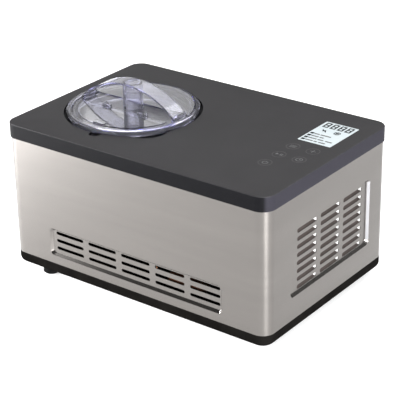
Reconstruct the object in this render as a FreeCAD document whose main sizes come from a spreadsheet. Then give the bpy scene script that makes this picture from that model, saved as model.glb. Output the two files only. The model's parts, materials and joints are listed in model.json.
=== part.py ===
import FreeCAD, Part

import math
import os
import re

import Sketcher
from FreeCAD import Placement, Rotation, Vector

# Compressor ice cream maker. Millimetres; +Z up; the floor is z = 0, where the feet stand.
# x = y = 0 is the centre of the top cover; +X runs along the width and the front faces -Y.

DIMENSIONS = {
    # Case
    "cover_width": 395.0, "cover_depth": 264.0, "cover_corner": 17.5, "cover_top": 201.4,
    "cover_plate": 3.0, "cover_skirt": 3.0, "cover_edge": 1.2, "cover_overhang": 1.3,
    "steel_top": 182.7, "steel_bottom": 25.1, "steel_sheet": 0.8, "lip_height": 7.0,
    "tray_bottom": 9.0, "tray_floor": 3.0, "tray_wall": 4.0, "tray_edge": 7.8,
    # Feet and the screws that tie the case together
    "foot_radius": 11.0, "foot_x": 150.0, "foot_left_y": 113.0, "foot_right_y": 103.0,
    "post_x": 179.0, "post_y": 114.0, "post_radius": 4.5, "boss_radius": 5.0,
    "m3_radius": 1.5, "m3_hole": 1.7, "m4_radius": 2.0, "m4_hole": 2.2, "screw_head": 3.6,
    # Vents: embossed pans with rows of slots
    "pan_depth": 3.4, "pan_slope": 3.0, "pan_corner": 6.0,
    "front_pan_left": -133.0, "front_pan_right": 134.0, "front_pan_low": 36.2, "front_pan_high": 73.6,
    "front_slot_length": 44.0, "front_slot_height": 4.2, "front_slot_x": -102.3, "front_slot_z": 46.7,
    "front_slot_pitch_x": 52.4, "front_slot_pitch_z": 10.3, "front_slot_columns": 5, "front_slot_rows": 3,
    "side_pan_front": -82.0, "side_pan_back": 90.5, "side_pan_low": 54.4, "side_pan_high": 143.6,
    "side_slot_length": 41.5, "side_slot_height": 5.5, "side_slot_y": -43.2, "side_slot_z": 61.2,
    "side_slot_pitch_y": 49.4, "side_slot_pitch_z": 10.4, "side_slot_columns": 3, "side_slot_rows": 8,
    "rear_edge": 176.0, "rear_gap": 168.0, "rear_screw_x": 172.0,
    "rear_slot_length": 46.0, "rear_slot_height": 4.2, "rear_slot_x": -96.0, "rear_slot_z": 92.0,
    "rear_slot_pitch_x": 56.0, "rear_slot_pitch_z": 11.0, "rear_slot_columns": 5, "rear_slot_rows": 7,
    # Bowl well in the cover
    "pot_x": -91.5, "pot_y": -8.0, "well_radius": 87.4, "well_floor": 198.0, "collar_hole": 79.5,
    "collar_radius": 103.0, "collar_bottom": 189.0, "notch_radius": 7.5, "notch_reach": 89.6,
    "scoop_radius": 29.1, "scoop_reach": 68.9, "scoop_depth": 5.2,
    # Display and touch keys
    "display_x": 153.7, "display_y": 61.2, "display_width": 46.0, "display_length": 66.0,
    "display_corner": 1.5, "lens_thickness": 1.6, "display_frame": 3.0, "lcd_thickness": 4.8,
    "key_radius": 7.0, "key_left_x": 139.5, "key_right_x": 167.3,
    "board_left": 125.0, "board_right": 187.0, "board_front": -70.0, "board_back": 102.0,
    "board_top": 190.9, "board_thickness": 1.6, "board_screw_inset": 3.8,
    # Cooling pot, bowl and paddle
    "pot_radius": 77.0, "pot_wall": 1.2, "pot_bottom": 78.0, "pot_flange": 86.0, "pot_hole": 6.0,
    "bowl_radius": 76.4, "bowl_wall": 1.2, "bowl_bottom": 80.3, "bowl_rim": 79.0, "bowl_rim_low": 189.3,
    "bowl_top": 191.5, "tube_radius": 6.6, "tube_bore": 5.2, "tube_top": 118.0,
    "bail_radius": 71.0, "bail_wire": 2.0, "bail_grip": 3.5, "grip_length": 30.0, "bail_z": 186.0,
    "bail_pin": 1.52, "bail_hole": 1.6, "bail_eye": 5.0, "bail_eye_depth": 6.0,
    "paddle_angle": 20.0, "paddle_hub": 11.0, "paddle_bore": 7.2, "paddle_reach": 73.6,
    "paddle_low": 82.6, "paddle_high": 178.0, "paddle_blade": 3.0, "paddle_socket": 6.2,
    "shaft_radius": 4.0, "shaft_low": 42.4, "shaft_shoulder": 122.0, "shaft_tip": 130.0, "tip_side": 5.5,
    "shaft_bore": 7.0, "foam_gap": 20.0,
    # Refrigeration round the pot
    "coil_radius": 81.1, "coil_bend": 79.0, "coil_tube": 2.9, "coil_low": 86.0,
    "coil_turns": 6, "coil_pitch": 14.0,
    "foam_radius": 98.0, "foam_bore": 84.4, "foam_low": 62.5, "foam_floor": 77.0, "foam_high": 186.0,
    # Lid
    "lid_radius": 83.8, "lid_low": 198.3, "lid_disc_low": 201.6, "lid_disc_top": 204.0,
    "lid_rim_top": 206.6, "lid_wall": 2.2, "lid_skirt_radius": 73.0, "lid_skirt_low": 195.0,
    "rim_bevel": 1.4, "rim_foot": 200.9, "rim_foot_inset": 1.4, "rim_inner": 77.9, "rim_slope": 76.3,
    "rim_under": 77.3, "rim_under_top": 78.9,
    "ramp_radius": 76.6, "ramp_front": 14.5, "ramp_front_top": 205.3, "ramp_rear_top": 207.5,
    "flap_radius": 70.0, "flap_corner": 4.0, "flap_chord": 16.4, "flap_rebate": 202.6,
    "flap_low": 202.9, "flap_top": 204.7, "flap_tab": 9.0, "flap_tab_rise": 1.4,
    "flap_ledge": 2.5, "hinge_y": 17.6, "hinge_z": 206.2, "hinge_pin": 1.0, "knuckle_radius": 2.1,
    "knuckle_start": 22.0, "knuckle_end": 29.6, "lug_end": 34.0,
    "arch_radius": 106.0, "arch_top": 238.2, "arch_width": 24.0, "arch_thickness": 2.4,
    "arch_foot": 75.0, "arch_foot_width": 5.0, "arch_foot_top": 209.5, "grip_post": 12.5, "grip_bore": 10.3,
    # Gearbox and stirring motor
    "gear_step": 32.0, "gear_teeth": 48, "pinion_teeth": 16, "tooth_module": 1.0,
    "gearbox_low": 40.0, "gearbox_high": 59.5, "gearbox_wall": 2.0, "gearbox_half": 28.0,
    "gearbox_left": 28.0, "gearbox_right": 77.0, "gearbox_lid": 2.0, "idler_pin_radius": 2.0,
    "idler_bore": 2.05, "bush_radius": 6.5, "shaft_clearance": 0.06,
    "wheel_low": 51.0, "wheel_face": 6.0, "idler_low": 44.0, "idler_face": 5.0, "idler_small_face": 8.4,
    "pinion_low": 43.4, "pinion_face": 6.0, "seal_height": 3.6, "seal_drop": 1.6, "bush_height": 3.5,
    "motor_radius": 20.0, "motor_wall": 4.0, "motor_low": 14.0, "rotor_radius": 2.5, "rotor_gap": 0.6,
    "spindle_top": 50.0,
    # Compressor
    "comp_x": 66.0, "comp_y": 15.0, "comp_radius": 50.0, "comp_core": 34.0, "comp_low": 30.0,
    "comp_seam": 90.0, "comp_high": 148.0, "comp_plate_x": 52.0, "comp_plate_y": 38.0, "comp_plate": 3.0,
    "comp_floor": 15.0, "comp_roof": 18.0, "seam_lip": 2.0, "seam_height": 4.0, "comp_margin": 9.0,
    "grommet_radius": 8.0, "grommet_neck": 5.0, "grommet_bore": 3.0, "grommet_lip": 3.0,
    "hood_width": 34.0, "hood_depth": 20.0, "hood_height": 38.0, "hood_reach": 12.0, "hood_drop": 42.0,
    # Fan and condenser
    "fan_z": 92.0, "fan_radius": 54.0, "fan_bore": 57.0, "shroud_x": 133.0, "shroud_depth": 16.0,
    "shroud_half": 64.0, "fan_motor_x": 119.0, "fan_motor_radius": 16.0, "fan_hub": 14.0,
    "spider_depth": 2.4, "spider_width": 8.0, "hub_depth": 11.0, "fan_gap": 2.6, "fan_depth": 20.0,
    "blade_count": 7, "blade_thickness": 1.6, "blade_chord": 26.0, "blade_twist": 24.0, "axle_radius": 1.5,
    "cond_x": 167.0, "cond_half": 72.0, "cond_low": 30.0, "cond_high": 150.0, "fin_width": 24.0,
    "end_plate": 1.0,
    "fin_thickness": 0.4, "fin_count": 27, "pass_low": 42.0, "pass_pitch": 24.0, "pass_count": 5,
    "cond_tube": 3.0, "line_tube": 2.5, "capillary": 1.0, "suction_tube": 3.5,
    "line_y": 98.0, "discharge_z": 112.0, "discharge_bend": 8.0, "suction_x": 45.0, "suction_z": 170.0,
    "suction_bend": 10.0, "capillary_x": 11.5, "capillary_z": 96.0, "capillary_start": 27.9,
    "capillary_bend": 6.0, "drier_x": 38.0, "drier_length": 44.0, "drier_radius": 9.0, "drier_cone": 10.0,
    "drier_outlet": 2.0, "drier_inlet": 3.2, "tail_end": 92.0,
    # Mains side
    "inlet_x": 140.0, "inlet_z": 50.0, "inlet_width": 24.2, "inlet_height": 16.6, "inlet_depth": 17.5,
    "inlet_wall": 2.0, "inlet_flange": 4.0, "psu_left": -60.0, "psu_right": 50.0, "psu_y": 112.0,
    "psu_low": 70.0, "psu_high": 140.0, "standoff_radius": 3.0, "standoff_inset": 6.0,
    "transformer_width": 26.0, "transformer_depth": 18.0, "transformer_height": 24.0,
    "transformer_x": 10.0, "transformer_z": 80.0, "capacitor_radius": 7.0, "capacitor_height": 16.0,
    "capacitor_x": -40.0, "capacitor_pitch": 20.0, "capacitor_z": 92.0,
    "relay_width": 22.0, "relay_depth": 13.0, "relay_height": 16.0, "relay_x": -48.0, "relay_z": 112.0,
    "driver_width": 14.0, "driver_depth": 10.0, "driver_height": 26.0, "driver_x": -12.0, "driver_z": 106.0,
    "socket_width": 18.0, "socket_depth": 8.0, "socket_height": 12.0, "socket_x": 18.0, "socket_z": 114.0,
    "pin_width": 2.0, "pin_length": 12.0, "pin_height": 4.0, "pin_spread": 7.0,
}

COIL_SIDES = 8

doc = FreeCAD.newDocument("ice_cream_maker")
sheet = doc.addObject("Spreadsheet::Sheet", "dims")
for row, (alias, number) in enumerate(DIMENSIONS.items(), start=1):
    sheet.set("A%d" % row, alias)
    sheet.set("B%d" % row, str(number))
    sheet.setAlias("B%d" % row, alias)
doc.recompute()

sub_parts = []
names = {"count": 0}


# ---------------------------------------------------------------- helpers

def size(alias):
    """The number that the sheet holds for a dimension."""
    return float(sheet.get(alias))


def formula(text):
    """An expression in which every dimension's name refers to the sheet."""
    name = r"(?<!\w)(?!deg\b)[a-z][a-z0-9_]*(?!\w|\()"
    return re.sub(name, lambda word: "dims." + word.group(), str(text))


def bind(obj, **properties):
    for name, text in properties.items():
        obj.setExpression(name, formula(text))
    return obj


def place(obj, x=0, y=0, z=0, rotation=None):
    if rotation is not None:
        obj.Placement = Placement(Vector(), rotation)
    for axis, text in zip("xyz", (x, y, z)):
        obj.setExpression("Placement.Base." + axis, formula(text))
    return obj


def sub_part(obj, label):
    """Name an object as one of the kept pieces."""
    obj.Label = label
    sub_parts.append(obj)
    return obj


def fresh(stem):
    names["count"] += 1
    return "%s_%d" % (stem, names["count"])


ALONG = {"Z": Rotation(), "X": Rotation(Vector(0, 1, 0), 90), "Y": Rotation(Vector(1, 0, 0), -90)}


def cylinder(radius, height, x, y, z, along="Z"):
    obj = doc.addObject("Part::Cylinder", fresh("cylinder"))
    return place(bind(obj, Radius=radius, Height=height), x, y, z, ALONG[along])


def box(length, width, height, x, y, z):
    """A box with (x, y, z) as its lowest corner."""
    obj = doc.addObject("Part::Box", fresh("box"))
    return place(bind(obj, Length=length, Width=width, Height=height), x, y, z)


def cone(low_radius, high_radius, height, x, y, z, along="Z"):
    obj = doc.addObject("Part::Cone", fresh("cone"))
    return place(bind(obj, Radius1=low_radius, Radius2=high_radius, Height=height), x, y, z, ALONG[along])


def fuse(*pieces):
    obj = doc.addObject("Part::MultiFuse", fresh("fuse"))
    obj.Shapes = list(pieces)
    return obj


def cut(base, *tools):
    obj = doc.addObject("Part::Cut", fresh("cut"))
    obj.Base = base
    obj.Tool = tools[0] if len(tools) == 1 else fuse(*tools)
    return obj


def group(pieces):
    """Several separate solids kept as one piece."""
    obj = doc.addObject("Part::Compound", fresh("group"))
    obj.Links = list(pieces)
    return obj


def feature(shape, x=0.0, y=0.0, z=0.0, turn=0.0):
    obj = doc.addObject("Part::Feature", fresh("shape"))
    obj.Shape = shape
    obj.Placement = Placement(Vector(x, y, z), Rotation(Vector(0, 0, 1), turn))
    return obj


def new_body(label, x=0, y=0, z=0, turn=None):
    body = doc.addObject("PartDesign::Body", label)
    place(body, x, y, z, None if turn is None else Rotation(Vector(0, 0, 1), turn))
    return sub_part(body, label)


def new_sketch(body, plane, offset=0):
    sketch = body.newObject("Sketcher::SketchObject", fresh("sketch"))
    origin = next(item for item in body.Origin.OriginFeatures if item.Role == plane)
    sketch.AttachmentSupport = [(origin, "")]
    sketch.MapMode = "FlatFace"
    sketch.setExpression("AttachmentOffset.Base.z", formula(offset))
    return sketch


def dimension(sketch, kind, text, *geometry):
    """A driving constraint whose value comes from the sheet."""
    index = sketch.addConstraint(Sketcher.Constraint(kind, *geometry, measure(text)))
    name = fresh("c")
    sketch.renameConstraint(index, name)
    sketch.setExpression("Constraints." + name, formula(text))


def measure(text):
    return float(sheet.evalExpression(str(text)))


def polygon(sketch, corners):
    """A closed outline of straight lines; each corner is a pair of formulas."""
    points = [Vector(measure(x), measure(y), 0) for x, y in corners]
    count = len(points)
    first = sketch.GeometryCount
    for index in range(count):
        sketch.addGeometry(Part.LineSegment(points[index], points[(index + 1) % count]), False)
    for index in range(count):
        following = first + (index + 1) % count
        sketch.addConstraint(Sketcher.Constraint("Coincident", first + index, 2, following, 1))
    for index, (x, y) in enumerate(corners):
        dimension(sketch, "DistanceX", x, -1, 1, first + index, 1)
        dimension(sketch, "DistanceY", y, -1, 1, first + index, 1)


def circle(sketch, x, y, radius):
    centre = Vector(measure(x), measure(y), 0)
    index = sketch.addGeometry(Part.Circle(centre, Vector(0, 0, 1), measure(radius)), False)
    dimension(sketch, "DistanceX", x, -1, 1, index, 3)
    dimension(sketch, "DistanceY", y, -1, 1, index, 3)
    dimension(sketch, "Radius", radius, index)


def rounded(sketch, left, right, low, high, radius):
    """A rectangle with rounded corners."""
    x0, x1, y0, y1, r = (measure(text) for text in (left, right, low, high, radius))
    first = sketch.GeometryCount
    lines = (((x0 + r, y0), (x1 - r, y0)), ((x1, y0 + r), (x1, y1 - r)),
             ((x1 - r, y1), (x0 + r, y1)), ((x0, y1 - r), (x0, y0 + r)))
    for start, end in lines:
        sketch.addGeometry(Part.LineSegment(Vector(*start, 0), Vector(*end, 0)), False)
    corners = ((x1 - r, y0 + r), (x1 - r, y1 - r), (x0 + r, y1 - r), (x0 + r, y0 + r))
    for turn, (x, y) in enumerate(corners):
        begin = math.radians(-90 + 90 * turn)
        arc = Part.ArcOfCircle(Part.Circle(Vector(x, y, 0), Vector(0, 0, 1), r), begin, begin + math.pi / 2)
        sketch.addGeometry(arc, False)
    for side in range(4):
        arc = first + 4 + side
        sketch.addConstraint(Sketcher.Constraint("Tangent", first + side, 2, arc, 1))
        sketch.addConstraint(Sketcher.Constraint("Tangent", arc, 2, first + (side + 1) % 4, 1))
        direction = "Horizontal" if side % 2 == 0 else "Vertical"
        sketch.addConstraint(Sketcher.Constraint(direction, first + side))
        if side:
            sketch.addConstraint(Sketcher.Constraint("Equal", first + 4, arc))
    dimension(sketch, "Radius", radius, first + 4)
    dimension(sketch, "DistanceY", low, -1, 1, first, 1)
    dimension(sketch, "DistanceX", right, -1, 1, first + 1, 1)
    dimension(sketch, "DistanceY", high, -1, 1, first + 2, 1)
    dimension(sketch, "DistanceX", left, -1, 1, first + 3, 1)


def slot(sketch, x, y, length, height):
    """A slot with round ends, centred on (x, y)."""
    half = "(%s)/2" % length
    rise = "(%s)/2" % height
    rounded(sketch, "%s-%s" % (x, half), "%s+%s" % (x, half), "%s-%s" % (y, rise), "%s+%s" % (y, rise),
            "%s-0.05" % rise)


def disc_segment(sketch, radius, chord):
    """The part of a disc in front of a chord that lies a given distance ahead of its centre."""
    r, c = measure(radius), measure(chord)
    half = math.sqrt(r * r - c * c)
    begin = math.atan2(-c, -half) % (2 * math.pi)
    arc = Part.ArcOfCircle(Part.Circle(Vector(0, 0, 0), Vector(0, 0, 1), r), begin, 3 * math.pi - begin)
    edge = sketch.addGeometry(arc, False)
    line = sketch.addGeometry(Part.LineSegment(Vector(half, -c, 0), Vector(-half, -c, 0)), False)
    sketch.addConstraint(Sketcher.Constraint("Coincident", edge, 3, -1, 1))
    sketch.addConstraint(Sketcher.Constraint("Coincident", edge, 2, line, 1))
    sketch.addConstraint(Sketcher.Constraint("Coincident", line, 2, edge, 1))
    sketch.addConstraint(Sketcher.Constraint("Horizontal", line))
    dimension(sketch, "Radius", radius, edge)
    dimension(sketch, "DistanceY", chord, line, 1, -1, 1)


def extrude(body, kind, sketch, length, backwards=False, midplane=False):
    """A pad or a pocket. Without backwards, a pad follows the sketch's normal and a pocket opposes it."""
    obj = body.newObject("PartDesign::" + kind, fresh(kind.lower()))
    obj.Profile = sketch
    obj.setExpression("Length", formula(length))
    obj.Reversed = backwards
    obj.Midplane = midplane
    sketch.Visibility = False
    return obj


def revolve(body, corners, kind="Revolution"):
    """Turn an outline of (radius, height) corners about the body's vertical axis."""
    sketch = new_sketch(body, "XZ_Plane")
    polygon(sketch, corners)
    obj = body.newObject("PartDesign::" + kind, fresh("turned"))
    obj.Profile = sketch
    obj.ReferenceAxis = (sketch, ["V_Axis"])
    obj.Angle = 360.0
    return obj


def grid(body, pocket, sketch, columns, pitch, rows, rise):
    """Repeat a pocket in rows and columns."""
    pattern = body.newObject("PartDesign::LinearPattern", fresh("grid"))
    pattern.Originals = [pocket]
    pattern.Direction = (sketch, ["H_Axis"])
    pattern.Direction2 = (sketch, ["V_Axis"])
    bind(pattern, Length="%s*(%s-1)" % (pitch, columns), Occurrences=columns,
         Length2="%s*(%s-1)" % (rise, rows), Occurrences2=rows)
    body.Tip = pattern
    return pattern


def edges_where(shape, test):
    return ["Edge%d" % number for number, edge in enumerate(shape.Edges, start=1) if test(edge)]


def round_edges(body, base, radius, test, kind="Fillet"):
    doc.recompute()
    obj = body.newObject("PartDesign::" + kind, fresh(kind.lower()))
    obj.Base = (base, edges_where(base.Shape, test))
    bind(obj, **{"Radius" if kind == "Fillet" else "Size": radius})
    return obj


def level(height):
    """A test for edges that lie wholly at one height."""
    return lambda edge: all(abs(vertex.Z - height) < 1e-4 for vertex in edge.Vertexes)


def route(points, bend):
    """A path through the points, with each corner rounded by a tangent arc."""
    corners = [Vector(*point) for point in points]
    edges = []
    start = corners[0]
    for before, corner, after in zip(corners, corners[1:], corners[2:]):
        back = (before - corner).normalize()
        ahead = (after - corner).normalize()
        half = back.getAngle(ahead) / 2
        reach = bend / math.tan(half)
        entry = corner + back * reach
        leave = corner + ahead * reach
        middle = corner + (back + ahead).normalize() * (bend / math.sin(half) - bend)
        edges.append(Part.LineSegment(start, entry).toShape())
        edges.append(Part.Arc(entry, middle, leave).toShape())
        start = leave
    edges.append(Part.LineSegment(start, corners[-1]).toShape())
    return Part.Wire(edges)


def tube(path, radius):
    """A solid round bar along a path."""
    start = path.Edges[0]
    heading = start.tangentAt(start.FirstParameter)
    profile = Part.Wire(Part.makeCircle(radius, start.valueAt(start.FirstParameter), heading))
    return path.makePipeShell([profile], True, False)


def steel_inset(sketch, inset):
    """The outline of the steel wrap, moved inwards."""
    back = "(cover_overhang+%s)" % inset
    rounded(sketch, "-cover_width/2+" + back, "cover_width/2-" + back,
            "-cover_depth/2+" + back, "cover_depth/2-" + back, "cover_corner-" + back)


def four(x, y):
    """The four mirrored places of a point, as formulas."""
    return [("%s%s" % (a, x), "%s%s" % (b, y)) for a in ("-", "") for b in ("-", "")]


# ---------------------------------------------------------------- case

FEET = {"foot_front_left": ("-foot_x", "-foot_left_y"), "foot_front_right": ("foot_x", "-foot_right_y"),
        "foot_rear_left": ("-foot_x", "foot_right_y"), "foot_rear_right": ("foot_x", "foot_right_y")}


def make_base_tray():
    body = new_body("base_tray")
    outline = new_sketch(body, "XY_Plane", "tray_bottom")
    steel_inset(outline, "0")
    block = extrude(body, "Pad", outline, "steel_bottom-tray_bottom")
    round_edges(body, block, "tray_edge", level(size("tray_bottom")))
    inside = new_sketch(body, "XY_Plane", "steel_bottom")
    steel_inset(inside, "tray_wall")
    extrude(body, "Pocket", inside, "steel_bottom-tray_bottom-tray_floor")
    lip = new_sketch(body, "XY_Plane", "steel_bottom")
    steel_inset(lip, "steel_sheet+0.2")
    steel_inset(lip, "steel_sheet+2.2")
    extrude(body, "Pad", lip, "lip_height")
    holes = new_sketch(body, "XY_Plane", "tray_bottom+tray_floor")
    for x, y in FEET.values():
        circle(holes, x, y, "m4_hole")
    for x, y in four("post_x", "post_y"):
        circle(holes, x, y, "m3_hole")
    extrude(body, "Pocket", holes, "tray_floor+1")
    vent = new_sketch(body, "XY_Plane", "tray_bottom+tray_floor")
    slot(vent, "30", "-60", "front_slot_length", "front_slot_height")
    vents = extrude(body, "Pocket", vent, "tray_floor+1")
    grid(body, vents, vent, "2", "60", "5", "12")


def make_feet():
    for label, (x, y) in FEET.items():
        body = new_body(label, x, y)
        revolve(body, [("m4_hole", "5"), ("5", "5"), ("5", "0"), ("foot_radius-1.2", "0"),
                       ("foot_radius", "1.2"), ("foot_radius-1", "tray_bottom"), ("m4_hole", "tray_bottom")])
    pieces = []
    for x, y in FEET.values():
        head = cylinder("screw_head+0.4", 2.4, x, y, 2.6)
        pieces.append(fuse(head, cylinder("m4_radius", 11.4, x, y, 5)))
        nut = cylinder("screw_head", 3, x, y, "tray_bottom+tray_floor")
        pieces.append(cut(nut, cylinder("m4_radius+0.03", 3, x, y, "tray_bottom+tray_floor")))
    sub_part(group(pieces), "foot_screws")


def make_cover_posts():
    posts = []
    screws = []
    for x, y in four("post_x", "post_y"):
        hexagon = doc.addObject("Part::Prism", fresh("post"))
        hexagon.Polygon = 6
        bind(hexagon, Circumradius="post_radius", Height="cover_top-cover_plate-10-tray_bottom-tray_floor")
        place(hexagon, x, y, "tray_bottom+tray_floor")
        stud = cylinder("m3_radius", 7, x, y, "cover_top-cover_plate-10")
        hole = cylinder("m3_radius+0.05", 12, x, y, "tray_bottom+tray_floor")
        posts.append(cut(fuse(hexagon, stud), hole))
        head = cylinder("screw_head", 2.4, x, y, "tray_bottom-2.4")
        screws.append(fuse(head, cylinder("m3_radius", 13, x, y, "tray_bottom")))
    sub_part(group(posts), "cover_posts")
    sub_part(group(screws), "base_screws")


def emboss(body, plane, face, left, right, low, high, sign):
    """Press a pan into a wall of the wrap; sign is the way from the plane's normal into the case."""
    def outline(offset, shrink):
        sketch = new_sketch(body, plane, offset)
        rounded(sketch, "%s+(%s)" % (left, shrink), "%s-(%s)" % (right, shrink),
                "%s+(%s)" % (low, shrink), "%s-(%s)" % (high, shrink), "pan_corner-(%s)/2" % shrink)
        return sketch

    inner = "%s%ssteel_sheet" % (face, sign)
    floor = "%s%span_depth" % (face, sign)
    for kind, near, far, grow in (("AdditiveLoft", inner, floor + sign + "steel_sheet", "-steel_sheet"),
                                  ("SubtractiveLoft", face, floor, "0")):
        loft = body.newObject("PartDesign::" + kind, fresh("pan"))
        loft.Profile = outline(near, grow)
        loft.Sections = [outline(far, "pan_slope" + ("" if grow == "0" else grow))]
        loft.Ruled = True


def vent_slots(body, plane, offset, name, across, backwards=False):
    """Cut a grid of slots whose sizes start with a common name."""
    sketch = new_sketch(body, plane, offset)
    start = "%s_slot_%s" % (name, across)
    slot(sketch, start, name + "_slot_z", name + "_slot_length", name + "_slot_height")
    pocket = extrude(body, "Pocket", sketch, "pan_depth+4", backwards)
    return grid(body, pocket, sketch, name + "_slot_columns", "%s_slot_pitch_%s" % (name, across),
                name + "_slot_rows", name + "_slot_pitch_z")


def make_housing_wrap():
    body = new_body("housing_wrap")
    ring = new_sketch(body, "XY_Plane", "steel_bottom")
    steel_inset(ring, "0")
    steel_inset(ring, "steel_sheet")
    extrude(body, "Pad", ring, "steel_top-steel_bottom")
    gap = new_sketch(body, "XZ_Plane", "-cover_depth/2")
    rounded(gap, "-rear_gap", "rear_gap", "steel_bottom-3", "steel_top+3", "1")
    extrude(body, "Pocket", gap, 6, backwards=True)
    holes = new_sketch(body, "XZ_Plane", "-cover_depth/2")
    for x, z in rear_screw_places():
        circle(holes, x, z, "m3_hole")
    extrude(body, "Pocket", holes, 6, backwards=True)
    front = "cover_depth/2-cover_overhang"
    emboss(body, "XZ_Plane", front, "front_pan_left", "front_pan_right",
           "front_pan_low", "front_pan_high", "-")
    vent_slots(body, "XZ_Plane", front, "front", "x")
    side = "cover_width/2-cover_overhang"
    emboss(body, "YZ_Plane", side, "side_pan_front", "side_pan_back",
           "side_pan_low", "side_pan_high", "-")
    vent_slots(body, "YZ_Plane", side, "side", "y")


def rear_screw_places():
    return [(x, z) for x in ("-rear_screw_x", "rear_screw_x") for z in ("40", "104", "168")]


def make_rear_panel():
    body = new_body("rear_panel")
    sheet_outline = new_sketch(body, "XZ_Plane", "-(cover_depth/2-cover_overhang)")
    rounded(sheet_outline, "-rear_edge", "rear_edge", "steel_bottom+2", "steel_top-2", "4")
    extrude(body, "Pad", sheet_outline, "steel_sheet", backwards=True)
    holes = new_sketch(body, "XZ_Plane", "-cover_depth/2")
    for x, z in rear_screw_places():
        circle(holes, x, z, "m3_hole")
    rounded(holes, "inlet_x-inlet_width/2-inlet_wall", "inlet_x+inlet_width/2+inlet_wall",
            "inlet_z-inlet_height/2-inlet_wall", "inlet_z+inlet_height/2+inlet_wall", "2")
    extrude(body, "Pocket", holes, 6, backwards=True)
    vent_slots(body, "XZ_Plane", "-cover_depth/2", "rear", "x", backwards=True)
    screws = []
    for x, z in rear_screw_places():
        face = "cover_depth/2-cover_overhang+steel_sheet"
        head = cylinder("screw_head-0.6", 0.5, x, face, z, "Y")
        shank = cylinder("m3_radius", 7, x, face + "-7", z, "Y")
        screws.append(fuse(head, shank))
    sub_part(group(screws), "rear_panel_screws")


KEYS = [("key_left_x", "-50.5"), ("key_left_x", "-20.5"), ("key_left_x", "8"),
        ("key_right_x", "-21.8"), ("key_right_x", "7")]


def board_screw_places():
    inset = "board_screw_inset"
    return [(x, y) for x in ("board_left+" + inset, "board_right-" + inset)
            for y in ("board_front+" + inset, "board_back-" + inset)]


def make_top_cover():
    body = new_body("top_cover")
    outline = new_sketch(body, "XY_Plane", "steel_top")
    steel_inset(outline, "-cover_overhang")
    block = extrude(body, "Pad", outline, "cover_top-steel_top")
    round_edges(body, block, "cover_edge", level(size("cover_top")))
    inside = new_sketch(body, "XY_Plane", "steel_top")
    steel_inset(inside, "cover_skirt-cover_overhang")
    extrude(body, "Pocket", inside, "cover_top-cover_plate-steel_top", backwards=True)
    collar = new_sketch(body, "XY_Plane", "collar_bottom")
    circle(collar, "pot_x", "pot_y", "collar_radius")
    extrude(body, "Pad", collar, "cover_top-cover_plate/2-collar_bottom")
    lip = new_sketch(body, "XY_Plane", "steel_top-lip_height")
    steel_inset(lip, "steel_sheet+0.2")
    steel_inset(lip, "steel_sheet+2.2")
    extrude(body, "Pad", lip, "lip_height+4")
    bosses = new_sketch(body, "XY_Plane", "cover_top-cover_plate-10")
    for x, y in four("post_x", "post_y"):
        circle(bosses, x, y, "boss_radius")
    extrude(body, "Pad", bosses, "10+cover_plate/2")
    stubs = new_sketch(body, "XY_Plane", "board_top")
    for x, y in board_screw_places():
        circle(stubs, x, y, "3")
    extrude(body, "Pad", stubs, "cover_top-cover_plate/2-board_top")
    taps = new_sketch(body, "XY_Plane", "cover_top-cover_plate-10")
    for x, y in four("post_x", "post_y"):
        circle(taps, x, y, "m3_radius+0.1")
    extrude(body, "Pocket", taps, 9, backwards=True)
    pilots = new_sketch(body, "XY_Plane", "board_top")
    for x, y in board_screw_places():
        circle(pilots, x, y, "1.3")
    extrude(body, "Pocket", pilots, 6, backwards=True)
    well = new_sketch(body, "XY_Plane", "cover_top")
    circle(well, "pot_x", "pot_y", "well_radius")
    extrude(body, "Pocket", well, "cover_top-well_floor")
    mouth = new_sketch(body, "XY_Plane", "cover_top")
    circle(mouth, "pot_x", "pot_y", "collar_hole")
    extrude(body, "Pocket", mouth, "cover_top-collar_bottom+1")
    notch = new_sketch(body, "XY_Plane", "cover_top")
    circle(notch, "pot_x+notch_reach*cos(-82 deg)", "pot_y+notch_reach*sin(-82 deg)", "notch_radius")
    extrude(body, "Pocket", notch, "cover_top-well_floor")
    scoop = new_sketch(body, "XY_Plane", "cover_top")
    circle(scoop, "pot_x+scoop_reach*cos(-38 deg)", "pot_y+scoop_reach*sin(-38 deg)", "scoop_radius")
    extrude(body, "Pocket", scoop, "scoop_depth")
    recess = new_sketch(body, "XY_Plane", "cover_top")
    display_outline(recess, "0.2")
    extrude(body, "Pocket", recess, "lens_thickness")
    window = new_sketch(body, "XY_Plane", "cover_top")
    display_outline(window, "-display_frame")
    extrude(body, "Pocket", window, "cover_plate+1")


def display_outline(sketch, grow):
    rounded(sketch, "display_x-display_width/2-(%s)" % grow, "display_x+display_width/2+(%s)" % grow,
            "display_y-display_length/2-(%s)" % grow, "display_y+display_length/2+(%s)" % grow,
            "display_corner")


def make_display():
    lens = new_body("display_lens")
    outline = new_sketch(lens, "XY_Plane", "cover_top-lens_thickness")
    display_outline(outline, "0")
    extrude(lens, "Pad", outline, "lens_thickness")
    module = new_body("lcd_module")
    outline = new_sketch(module, "XY_Plane", "cover_top-cover_plate-lcd_thickness")
    display_outline(outline, "-0.5")
    extrude(module, "Pad", outline, "lcd_thickness")
    board = new_body("control_board")
    outline = new_sketch(board, "XY_Plane", "board_top-board_thickness")
    rounded(outline, "board_left", "board_right", "board_front", "board_back", "2")
    for x, y in board_screw_places():
        circle(outline, x, y, "m3_hole")
    extrude(board, "Pad", outline, "board_thickness")
    springs = []
    for x, y in KEYS:
        pad = cylinder("key_radius", 0.9, x, y, "cover_top-cover_plate-0.9")
        stem = cylinder("2", "cover_top-cover_plate-0.9-board_top", x, y, "board_top")
        springs.append(fuse(pad, stem))
    sub_part(group(springs), "touch_sensors")
    screws = []
    for x, y in board_screw_places():
        head = cylinder("2.6", 1.6, x, y, "board_top-board_thickness-1.6")
        screws.append(fuse(head, cylinder("1.2", 6, x, y, "board_top-board_thickness")))
    sub_part(group(screws), "board_screws")


# ---------------------------------------------------------------- bowl, paddle and lid

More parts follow.
